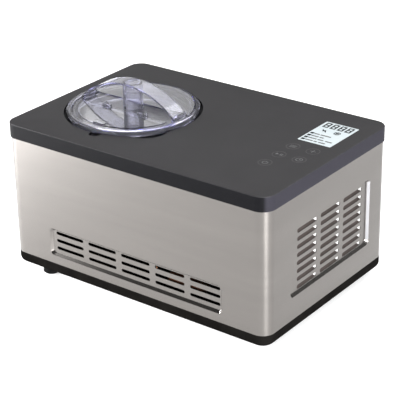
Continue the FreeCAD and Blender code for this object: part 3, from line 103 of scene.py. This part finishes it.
def surface(name, dark, light, patch, grain, depth, rough, metallic=0.0, stretch=(1, 1, 1), **fixed):
    """A solid surface: blotches of two close colours, a fine grain in its bump, and uneven roughness."""
    shade = Shade(name)
    blotch = shade.remap(shade.noise(patch, 3.0, stretch), 0.0, 1.0)
    shade.wire(shade.colour(blotch, dark, light), "Base Color")
    texture = shade.noise(grain, 2.0, stretch)
    shade.wire(shade.remap(texture, *rough), "Roughness")
    shade.bump(texture, 0.5, depth)
    shade.fix(Metallic=metallic, **fixed)
    return shade.material


BAND_PAINTED_LIGHT_X = (0.1905, 0.1935)      # X over which the band's painted shade turns to the lighter, bluer painted light of the right-hand side
PAINTED_SHADE_TOP_Z = (0.2002, 0.2011)     # Z below which the band, scoop and well take the painted shade instead of the top's colour


def case_shell_painted_shade(name):
    """Dark moulding with painted light: below its top edge the colour is painted shade, near black on the
    front, back and left and a lighter, bluer painted light at the right-hand end; the scoop and well take the
    same painted shade, with less sheen than the top.
    """
    shade = Shade(name)
    blotch = shade.remap(shade.noise(22, 3.0), 0.0, 1.0)
    top = shade.colour(blotch, (0.0235, 0.0225, 0.0245), (0.0275, 0.0262, 0.0285))
    spot = shade.add("ShaderNodeSeparateXYZ", {0: shade.place})
    # Painted shade on the side band: near black at the front, back and left, lighter and bluer painted light
    # at the right-hand end.
    painted_band_shade = shade.colour(shade.remap(spot.outputs["X"], 0.0, 1.0, *BAND_PAINTED_LIGHT_X),
                         (0.005, 0.005, 0.006), (0.0200, 0.0192, 0.0248))
    # Painted shade below the top edge, which also darkens the scoop and the well.
    height = shade.remap(spot.outputs["Z"], 0.0, 1.0, *PAINTED_SHADE_TOP_Z)
    mixed = shade.add("ShaderNodeMix", {0: height, 6: painted_band_shade, 7: top}, data_type="RGBA")
    shade.wire(mixed.outputs[2], "Base Color")
    texture = shade.noise(1500, 2.0)
    shade.wire(shade.remap(texture, 0.44, 0.54), "Roughness")
    shade.bump(texture, 0.5, 0.00005)
    shade.wire(shade.remap(height, 0.04, 0.22, 0.0, 1.0), "Specular IOR Level")
    return shade.material


def brushed_sheet(name, dark, light, rough, fine):
    """Sheet metal brushed along its length: streaks run level round the case."""
    shade = Shade(name)
    streak = shade.noise(1.0, 4.0, (9, 9, fine), 0.7)
    broad = shade.noise(1.0, 3.0, (3, 3, 60), 0.6)
    tone = shade.add("ShaderNodeMath", {0: streak, 1: broad}, operation="ADD")
    mixed = shade.remap(tone.outputs["Value"], 0.0, 1.0, 0.7, 1.3)
    shade.wire(shade.colour(mixed, dark, light), "Base Color")
    shade.wire(shade.remap(streak, *rough), "Roughness")
    shade.bump(streak, 0.12, 0.00004)
    tangent = shade.add("ShaderNodeTangent", direction_type="RADIAL", axis="Z")
    shade.wire(tangent.outputs["Tangent"], "Tangent")
    shade.fix(Metallic=1.0, Anisotropic=0.75, Anisotropic_Rotation=0.25)
    return shade.material


def clear_plastic(name, tint, density, clarity):
    """Clear tinted moulding with faint scuffs; its thickness deepens the tint."""
    shade = Shade(name)
    haze = shade.remap(shade.noise(60.0, 4.0), 0.0, 1.0)
    shade.wire(shade.colour(haze, (0.93, 0.93, 1.0), (0.97, 0.97, 1.0)), "Base Color")
    shade.wire(shade.remap(shade.noise(220.0, 3.0), 0.015, 0.09), "Roughness")
    shade.bump(shade.noise(90.0, 2.0), 0.05, 0.0002)
    shade.fix(IOR=1.5, Transmission_Weight=clarity, Specular_IOR_Level=0.12)
    body = shade.add("ShaderNodeVolumeAbsorption", (), {"Color": (*tint, 1), "Density": density})
    shade.tree.links.new(body.outputs["Volume"], shade.output.inputs["Volume"])
    return shade.material


def make_materials():
    made = {}

    def solid(slot, *args, **kwargs):
        made[slot] = surface(slot, *args, **kwargs)

    made["case_black"] = case_shell_painted_shade("case_black")
    # Black base plastic; part of its near-black level is painted shade for the shaded base.
    solid("base_black", (0.004, 0.0037, 0.0035), (0.007, 0.0065, 0.006), 40, 1500, 0.00005, (0.8, 0.9),
          Specular_IOR_Level=0.0)
    solid("foot_rubber", (0.003, 0.003, 0.003), (0.006, 0.006, 0.006), 90, 900, 0.00008, (0.7, 0.85),
          Specular_IOR_Level=0.05)
    solid("fastener_steel", (0.42, 0.42, 0.43), (0.58, 0.58, 0.57), 400, 2500, 0.00003, (0.3, 0.45), 1.0)
    solid("display_glass", (0.64, 0.72, 0.75), (0.70, 0.77, 0.79), 60, 1200, 0.00001, (0.10, 0.18))
    solid("lcd_white", (0.70, 0.74, 0.76), (0.80, 0.83, 0.84), 120, 900, 0.00002, (0.5, 0.6))
    solid("circuit_green", (0.010, 0.075, 0.025), (0.02, 0.13, 0.04), 260, 900, 0.00003, (0.3, 0.42))
    solid("bowl_aluminium", (0.38, 0.38, 0.39), (0.46, 0.46, 0.465), 40, 700, 0.00003, (0.32, 0.42), 1.0,
          (1, 1, 0.2))
    solid("foam_cream", (0.60, 0.52, 0.32), (0.74, 0.68, 0.48), 90, 420, 0.0004, (0.85, 0.95))
    # Copper made far darker than bright copper, as painted shade for the coils glimpsed through the vents.
    solid("copper", (0.24, 0.10, 0.055), (0.34, 0.165, 0.10), 160, 900, 0.00003, (0.22, 0.4), 1.0)
    solid("paddle_plastic", (0.50, 0.50, 0.49), (0.58, 0.58, 0.565), 60, 900, 0.00003, (0.28, 0.4),
          Subsurface_Weight=0.15)
    solid("gear_steel", (0.36, 0.35, 0.34), (0.48, 0.47, 0.45), 80, 900, 0.00003, (0.32, 0.45), 1.0)
    solid("shaft_steel", (0.48, 0.48, 0.49), (0.62, 0.62, 0.62), 300, 1800, 0.00002, (0.2, 0.32), 1.0)
    solid("compressor_black", (0.010, 0.010, 0.012), (0.018, 0.018, 0.020), 60, 500, 0.00012, (0.28, 0.4))
    solid("inner_plastic", (0.014, 0.014, 0.016), (0.024, 0.024, 0.026), 70, 1100, 0.00006, (0.5, 0.62))
    solid("fan_plastic", (0.022, 0.022, 0.025), (0.034, 0.034, 0.037), 70, 1100, 0.00005, (0.4, 0.5))
    solid("fin_aluminium", (0.60, 0.60, 0.62), (0.76, 0.76, 0.77), 200, 900, 0.00003, (0.3, 0.42), 1.0)
    solid("board_parts", (0.012, 0.016, 0.040), (0.05, 0.06, 0.11), 90, 900, 0.00003, (0.35, 0.5))
    solid("pin_brass", (0.62, 0.46, 0.18), (0.78, 0.62, 0.30), 200, 1500, 0.00002, (0.22, 0.34), 1.0)
    made["steel_case"] = brushed_sheet("steel_case", (0.164, 0.155, 0.147), (0.186, 0.175, 0.166),
                                       (0.20, 0.27), 4200)
    # Painted shade: a dark brown sheet for the shaded steel seen behind each side slot.
    solid("louvre_painted_shade", (0.030, 0.024, 0.022), (0.040, 0.032, 0.030), 60, 900, 0.00003, (0.5, 0.6),
          Specular_IOR_Level=0.2)
    # Painted highlight: a pale grey plate for the bright band the pan's rear wall reflects.
    solid("pan_edge_painted_highlight", (0.20, 0.20, 0.21), (0.24, 0.24, 0.25), 60, 900, 0.00002, (0.4, 0.5), 0.2)
    # Painted highlight: a far brighter steel than the case, for the light each louvre's pressed end catches.
    solid("louvre_end_painted_highlight", (0.60, 0.60, 0.60), (0.70, 0.70, 0.70), 60, 900, 0.00003, (0.3, 0.4), 1.0)
    made["clear_plastic"] = clear_plastic("clear_plastic", (0.42, 0.42, 0.86), 30.0, 0.97)
    made["clear_handle"] = clear_plastic("clear_handle", (0.34, 0.34, 0.86), 34.0, 0.97)
    solid("ink_black", (0.004, 0.005, 0.006), (0.008, 0.009, 0.011), 300, 1500, 0.00001, (0.5, 0.6),
          Specular_IOR_Level=0.1)
    solid("ink_grey", (0.10, 0.10, 0.102), (0.13, 0.13, 0.134), 300, 1500, 0.00001, (0.5, 0.6))
    solid("key_ring", (0.078, 0.075, 0.078), (0.104, 0.100, 0.104), 300, 1500, 0.00001, (0.5, 0.6),
          Specular_IOR_Level=0.2)
    return made


def smoothing():
    """A modifier's node group: merge doubled points, then shade smooth but for sharp edges."""
    group = bpy.data.node_groups.new("smooth_faces", "GeometryNodeTree")
    group.interface.new_socket("Geometry", in_out="INPUT", socket_type="NodeSocketGeometry")
    group.interface.new_socket("Geometry", in_out="OUTPUT", socket_type="NodeSocketGeometry")
    start = group.nodes.new("NodeGroupInput")
    stop = group.nodes.new("NodeGroupOutput")
    weld = group.nodes.new("GeometryNodeMergeByDistance")
    weld.inputs["Distance"].default_value = WELD_DISTANCE
    faces = group.nodes.new("GeometryNodeSetShadeSmooth")
    faces.domain = "FACE"
    edges = group.nodes.new("GeometryNodeSetShadeSmooth")
    edges.domain = "EDGE"
    edges.inputs["Shade Smooth"].default_value = False
    angle = group.nodes.new("GeometryNodeInputMeshEdgeAngle")
    sharp = group.nodes.new("FunctionNodeCompare")
    sharp.operation = "GREATER_THAN"
    sharp.inputs["B"].default_value = SMOOTH_ANGLE
    group.links.new(start.outputs[0], weld.inputs["Geometry"])
    group.links.new(weld.outputs["Geometry"], faces.inputs["Geometry"])
    group.links.new(faces.outputs["Geometry"], edges.inputs["Geometry"])
    group.links.new(angle.outputs["Unsigned Angle"], sharp.inputs["A"])
    group.links.new(sharp.outputs["Result"], edges.inputs["Selection"])
    group.links.new(edges.outputs["Geometry"], stop.inputs[0])
    return group


MATERIALS = make_materials()
SMOOTH = smoothing()

# Nodes that look different from the others in their record slot.
OWN_LOOK = {"lid_handle": "clear_handle", "handle_cap": "clear_handle"}


def dress_frame():
    """Every CAD node gets the material of its record slot, or the look OWN_LOOK gives it, and smooth shading.
    """
    slots = {part["node"]: part["material_slot"] for part in frame["record"]["subparts"]}
    for name, node in NODES.items():
        node.data.materials.clear()
        node.data.materials.append(MATERIALS[OWN_LOOK.get(name, slots[name])])
        node.modifiers.new("smooth_faces", "NODES").node_group = SMOOTH


# ---------------------------------------------------------------- printed marks

def mesh_piece(name, build, material, body):
    """A new piece from a bmesh function, riding on a body."""
    data = bpy.data.meshes.new(name)
    work = bmesh.new()
    build(work)
    work.to_mesh(data)
    work.free()
    data.materials.append(MATERIALS[material])
    piece = bpy.data.objects.new(name, data)
    bpy.context.scene.collection.objects.link(piece)
    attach(piece, body)


PRINT_HEIGHT = 0.04 * MM
PRINT_SINK = 0.02 * MM


def plate(work, outline, level):
    """A thin printed shape from its outline in mm."""
    low = [work.verts.new((x * MM, y * MM, level - PRINT_SINK)) for x, y in outline]
    top = [work.verts.new((x * MM, y * MM, level + PRINT_HEIGHT)) for x, y in outline]
    work.faces.new(list(reversed(low)))
    work.faces.new(top)
    for i in range(len(outline)):
        j = (i + 1) % len(outline)
        work.faces.new((low[i], low[j], top[j], top[i]))


def bar(work, x0, x1, y0, y1, level):
    plate(work, ((x0, y0), (x1, y0), (x1, y1), (x0, y1)), level)


def stroke(work, start, end, width, level):
    """A straight line of a given width between two points, with pointed ends."""
    a, b = Vector(start), Vector(end)
    along = (b - a).normalized() * (width / 2)
    side = Vector((-along.y, along.x))
    corners = (a, a + along - side, b - along - side, b, b - along + side, a + along + side)
    plate(work, [tuple(p) for p in corners], level)


def ring(work, x, y, radius, width, level, start=0.0, sweep=360.0, steps=48):
    """A printed ring or arc."""
    whole = sweep >= 360.0
    count = steps if whole else steps + 1
    inner, outer = radius - width / 2, radius + width / 2
    top, low = level + PRINT_HEIGHT, level - PRINT_SINK
    rows = []
    for i in range(count):
        angle = math.radians(start + sweep * i / steps)
        spots = []
        for r, z in ((inner, top), (outer, top), (outer, low), (inner, low)):
            spots.append(work.verts.new(((x + r * math.cos(angle)) * MM, (y + r * math.sin(angle)) * MM, z)))
        rows.append(spots)
    for i in range(steps):
        here, there = rows[i], rows[(i + 1) % count]
        for k in range(4):
            n = (k + 1) % 4
            work.faces.new((here[k], here[n], there[n], there[k]))
    if not whole:
        work.faces.new(rows[0])
        work.faces.new(list(reversed(rows[-1])))


DIGIT_CENTRES = (137.9, 148.3, 158.7, 169.1)
DIGIT_Y, DIGIT_HALF_WIDTH, DIGIT_HALF_HEIGHT = 84.2, 3.9, 6.3
SEGMENT_WIDTH, SEGMENT_GAP = 2.2, 0.2

BOLT_OUTLINE = ((0.6, 6.6), (-2.9, -0.6), (-0.5, -0.6), (-1.2, -6.6), (2.9, 1.2), (0.5, 1.2))
BOLT_CENTRE, BOLT_LEAN = (144.0, 67.2), math.radians(52)
FLAKE_CENTRE, FLAKE_RADIUS, FLAKE_STROKE = (161.5, 68.0), 4.8, 1.1
FORK_PLACE, FORK_LENGTH, FORK_STROKE = 0.55, 2.6, 0.9

BULLET_START, BULLET_END, BULLET_HALF_HEIGHT = 132.8, 137.6, 2.2
ROW_HALF_HEIGHT = 1.3
# Each row's y, and where each of its bars starts and ends.
ROWS = (
    (54.2, ((138.4, 145.6), (147.0, 161.4))),
    (47.2, ((138.4, 148.6), (150.0, 155.8))),
    (40.4, ((138.4, 150.2), (151.6, 159.4), (162.2, 171.4))),
    (33.6, ((138.4, 149.0), (150.4, 154.8), (157.0, 166.2))),
)


def make_display_marks():
    """Digits, two icons and four bulleted rows, printed on the display window."""
    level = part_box("display_lens")[1].z
    half = SEGMENT_WIDTH / 2

    def digits(work):
        for x in DIGIT_CENTRES:
            left, right = x - DIGIT_HALF_WIDTH, x + DIGIT_HALF_WIDTH
            for y in (DIGIT_Y - DIGIT_HALF_HEIGHT, DIGIT_Y, DIGIT_Y + DIGIT_HALF_HEIGHT):
                bar(work, left, right, y - half, y + half, level)
            for side in (left + half, right - half):
                for low in (DIGIT_Y - DIGIT_HALF_HEIGHT, DIGIT_Y):
                    bar(work, side - half, side + half, low + half + SEGMENT_GAP,
                        low + DIGIT_HALF_HEIGHT - half - SEGMENT_GAP, level)

    def bolt(work):
        across, up = math.cos(BOLT_LEAN), math.sin(BOLT_LEAN)
        plate(work, [(BOLT_CENTRE[0] + x * across - y * up, BOLT_CENTRE[1] + x * up + y * across)
                     for x, y in BOLT_OUTLINE], level)

    def flake(work):
        middle = Vector(FLAKE_CENTRE)
        for turn in range(3):
            angle = math.radians(60 * turn + 30)
            reach = Vector((math.cos(angle), math.sin(angle))) * FLAKE_RADIUS
            stroke(work, middle - reach, middle + reach, FLAKE_STROKE, level)
            for sign in (-1, 1):
                fork = middle + reach * FORK_PLACE * sign
                for bend in (-1, 1):
                    tip = angle + (0 if sign > 0 else math.pi) + bend * math.radians(50)
                    stroke(work, fork, fork + Vector((math.cos(tip), math.sin(tip))) * FORK_LENGTH,
                           FORK_STROKE, level)

    def icons(work):
        bolt(work)
        flake(work)

    def bullets(work):
        for y, _ in ROWS:
            bar(work, BULLET_START, BULLET_END, y - BULLET_HALF_HEIGHT, y + BULLET_HALF_HEIGHT, level)

    def rows(work):
        for y, ends in ROWS:
            for x0, x1 in ends:
                bar(work, x0, x1, y - ROW_HALF_HEIGHT, y + ROW_HALF_HEIGHT, level)

    mesh_piece("display_digits", digits, "ink_black", "chassis")
    mesh_piece("display_icons", icons, "ink_black", "chassis")
    mesh_piece("display_bullets", bullets, "ink_black", "chassis")
    mesh_piece("display_rows", rows, "ink_grey", "chassis")


# Centres of the power, start, menu, timer and plus keys.
KEY_PLACES = ((138.6, -50.4), (138.8, -21.9), (139.2, 6.6), (166.6, -21.9), (166.8, 7.1))


KEY_RADIUS, KEY_STROKE, SYMBOL_STROKE = 8.2, 0.6, 0.9


def make_key_marks():
    """A ring and a symbol for each touch key, printed on the cover."""
    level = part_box("top_cover")[1].z

    def rings(work):
        for x, y in KEY_PLACES:
            ring(work, x, y, KEY_RADIUS, KEY_STROKE, level)

    def power(work, x, y):
        ring(work, x, y, 3.4, SYMBOL_STROKE, level, 125.0, 290.0, 24)
        stroke(work, (x, y + 0.6), (x, y + 4.8), SYMBOL_STROKE, level)

    def start_pause(work, x, y):
        plate(work, ((x - 4.4, y - 2.6), (x - 0.4, y), (x - 4.4, y + 2.6)), level)
        for left in (x + 1.4, x + 3.6):
            bar(work, left, left + 1.0, y - 2.6, y + 2.6, level)

    def menu(work, x, y):
        for step in (-2.4, 0.0, 2.4):
            bar(work, x - 4.2, x + 4.2, y + step - 0.45, y + step + 0.45, level)

    def timer(work, x, y):
        ring(work, x, y, 4.0, SYMBOL_STROKE, level, 0.0, 360.0, 32)
        stroke(work, (x, y), (x, y + 3.0), SYMBOL_STROKE, level)
        stroke(work, (x, y), (x + 2.4, y), SYMBOL_STROKE, level)

    def plus(work, x, y):
        bar(work, x - 3.8, x + 3.8, y - 0.5, y + 0.5, level)
        bar(work, x - 0.5, x + 0.5, y - 3.8, y + 3.8, level)

    def symbols(work):
        for draw, (x, y) in zip((power, start_pause, menu, timer, plus), KEY_PLACES):
            draw(work, x, y)

    mesh_piece("key_rings", rings, "key_ring", "chassis")
    mesh_piece("key_symbols", symbols, "ink_grey", "chassis")


# ---------------------------------------------------------------- side vent pan

SIDE_COLUMNS = (-43.2, 6.2, 55.6)
SIDE_ROWS = [61.2 + 10.4 * row for row in range(8)]
LOUVRE_FACE = 191.9
LOUVRE_DEPTH = 3.6
LOUVRE_HALF_LENGTH = 20.6
BLADE_BELOW, BLADE_ABOVE = 3.2, 3.4
END_LENGTH, END_HALF_HEIGHT, END_LIFT = 6.5, 3.0, 0.5
SHEET = 0.4

# The pan's rear wall: its outer and inner edge in plan, and how far up it runs.
PAN_WALL_OUTER = (196.35, 90.2)
PAN_WALL_INNER = (193.6, 87.8)
PAN_WALL_FOOT, PAN_WALL_HEAD = 60.5, 140.0


def slab(work, corners):
    """A plate through four (x, y, z) corners in mm, thickened towards the case."""
    near = [work.verts.new((x * MM, y * MM, z * MM)) for x, y, z in corners]
    far = [work.verts.new(((x - SHEET) * MM, y * MM, z * MM)) for x, y, z in corners]
    work.faces.new(near)
    work.faces.new(list(reversed(far)))
    for i in range(4):
        j = (i + 1) % 4
        work.faces.new((near[j], near[i], far[i], far[j]))


def make_louvres():
    """A pale plate on the side pan's rear wall as a painted highlight, and behind each side slot a dark blade
    in painted shade with a pressed end in painted highlight.
    """
    back = LOUVRE_FACE - LOUVRE_DEPTH

    def edge(work):
        slab(work, ((*PAN_WALL_OUTER, PAN_WALL_FOOT), (*PAN_WALL_OUTER, PAN_WALL_HEAD),
                    (*PAN_WALL_INNER, PAN_WALL_HEAD), (*PAN_WALL_INNER, PAN_WALL_FOOT)))

    def blades(work):
        for y in SIDE_COLUMNS:
            for z in SIDE_ROWS:
                front, rear = y - LOUVRE_HALF_LENGTH, y + LOUVRE_HALF_LENGTH
                slab(work, ((LOUVRE_FACE, front, z - BLADE_BELOW), (LOUVRE_FACE, rear, z - BLADE_BELOW),
                            (back, rear, z + BLADE_ABOVE), (back, front, z + BLADE_ABOVE)))

    def ends(work):
        for y in SIDE_COLUMNS:
            for z in SIDE_ROWS:
                rear, start = y + LOUVRE_HALF_LENGTH, y + LOUVRE_HALF_LENGTH - END_LENGTH
                low, high = z - END_HALF_HEIGHT, z + END_HALF_HEIGHT
                slab(work, ((back + END_LIFT, start, low), (LOUVRE_FACE, rear, low),
                            (LOUVRE_FACE, rear, high), (back + END_LIFT, start, high)))

    # A painted highlight plate, painted shade blades and painted highlight ends.
    mesh_piece("side_pan_edge", edge, "pan_edge_painted_highlight", "chassis")
    mesh_piece("side_louvre_blades", blades, "louvre_painted_shade", "chassis")
    mesh_piece("side_louvre_ends", ends, "louvre_end_painted_highlight", "chassis")


# ---------------------------------------------------------------- stage

FLOOR_HALF_SIZE = 60.0
FLOOR_DROP = 0.0002


def make_floor():
    """A pale paper floor, just under the feet."""
    data = bpy.data.meshes.new("floor")
    work = bmesh.new()
    bmesh.ops.create_grid(work, x_segments=4, y_segments=4, size=FLOOR_HALF_SIZE)
    work.to_mesh(data)
    work.free()
    shade = Shade("floor_paper")
    tone = shade.remap(shade.noise(1.2, 2.0), 0.0, 1.0)
    shade.wire(shade.colour(tone, (0.90, 0.90, 0.90), (0.92, 0.92, 0.92)), "Base Color")
    shade.fix(Roughness=0.9, Emission_Color=(1, 1, 1, 1), Emission_Strength=0.5)
    data.materials.append(shade.material)
    floor = bpy.data.objects.new("floor", data)
    floor.location.z = -FLOOR_DROP
    bpy.context.scene.collection.objects.link(floor)


LAMP_AIM = Vector((-0.09, -0.01, 0.2))
WORLD_STRENGTH = 0.15


def softbox(name, place, aim, width, height, power, tint=(1, 1, 1)):
    data = bpy.data.lights.new(name, "AREA")
    data.shape = "RECTANGLE"
    data.size = width
    data.size_y = height
    data.energy = power
    data.color = tint
    light = bpy.data.objects.new(name, data)
    light.location = place
    light.rotation_euler = (Vector(aim) - Vector(place)).to_track_quat("-Z", "Y").to_euler()
    light.visible_camera = False
    bpy.context.scene.collection.objects.link(light)


def lamp_at(name, azimuth, elevation, distance, width, height, radiance, tint=(1, 1, 1)):
    """A softbox seen from the lid at an azimuth from -Y towards +X; width and height are angles."""
    a, e = math.radians(azimuth), math.radians(elevation)
    place = LAMP_AIM + Vector((math.sin(a) * math.cos(e), -math.cos(a) * math.cos(e), math.sin(e))) * distance
    wide = 2 * distance * math.tan(math.radians(width / 2))
    tall = 2 * distance * math.tan(math.radians(height / 2))
    softbox(name, place, LAMP_AIM, wide, tall, radiance * math.pi * wide * tall, tint)


def make_lights():
    world = bpy.data.worlds.new("studio")
    world.use_nodes = True
    backdrop = world.node_tree.nodes["Background"]
    backdrop.inputs["Color"].default_value = (1.0, 1.0, 1.0, 1)
    backdrop.inputs["Strength"].default_value = WORLD_STRENGTH
    bpy.context.scene.world = world
    lamp_at("overhead", 60, 80, 1.9, 50, 50, 3.2)
    lamp_at("back_low", -125.4, 13, 2.4, 28, 22, 0.65)
    lamp_at("back_high", -169, 37.0, 2.4, 61, 24, 1.6)
    lamp_at("left", -54, 2, 1.0, 14, 22, 76.0)
    lamp_at("right", 92, 17, 1.9, 30, 40, 0.9, (0.94, 0.94, 1.0))
    lamp_at("right_high", 150, 46, 2.2, 26, 16, 3.0)
    lamp_at("front", 62, 3, 2.18, 24, 16, 58.0)


CAMERA_AZIMUTH, CAMERA_ELEVATION, CAMERA_ROLL = 37.55, 25.30, -1.18
CAMERA_TARGET, CAMERA_DISTANCE = (0.1382, -0.1737, 0.2014), 1.5859
CAMERA_LENS, CAMERA_SENSOR, CAMERA_CLIP = 131.27, 36.0, 60.0


def make_camera():
    """The camera's azimuth is from -Y towards +X."""
    azimuth, elevation = math.radians(CAMERA_AZIMUTH), math.radians(CAMERA_ELEVATION)
    roll = math.radians(CAMERA_ROLL)
    back = Vector((math.sin(azimuth) * math.cos(elevation), -math.cos(azimuth) * math.cos(elevation),
                   math.sin(elevation)))
    level = Vector((0, 0, 1)).cross(back).normalized()
    rise = back.cross(level)
    right = level * math.cos(roll) + rise * math.sin(roll)
    up = rise * math.cos(roll) - level * math.sin(roll)
    place = Vector(CAMERA_TARGET) + back * CAMERA_DISTANCE
    data = bpy.data.cameras.new("camera")
    data.lens = CAMERA_LENS
    data.sensor_width = CAMERA_SENSOR
    data.clip_end = CAMERA_CLIP
    camera = bpy.data.objects.new("camera", data)
    matrix = camera.matrix_world.copy()
    for column, axis in enumerate((right, up, back)):
        for row in range(3):
            matrix[row][column] = axis[row]
    for row in range(3):
        matrix[row][3] = place[row]
    camera.matrix_world = matrix
    bpy.context.scene.collection.objects.link(camera)
    bpy.context.scene.camera = camera


def set_view():
    view = bpy.context.scene.view_settings
    view.view_transform = "Standard"
    view.look = "None"
    view.exposure = 0.0
    view.gamma = 1.0


make_camera()
dress_frame()
make_display_marks()
make_key_marks()
make_louvres()
make_floor()
make_lights()
set_view()
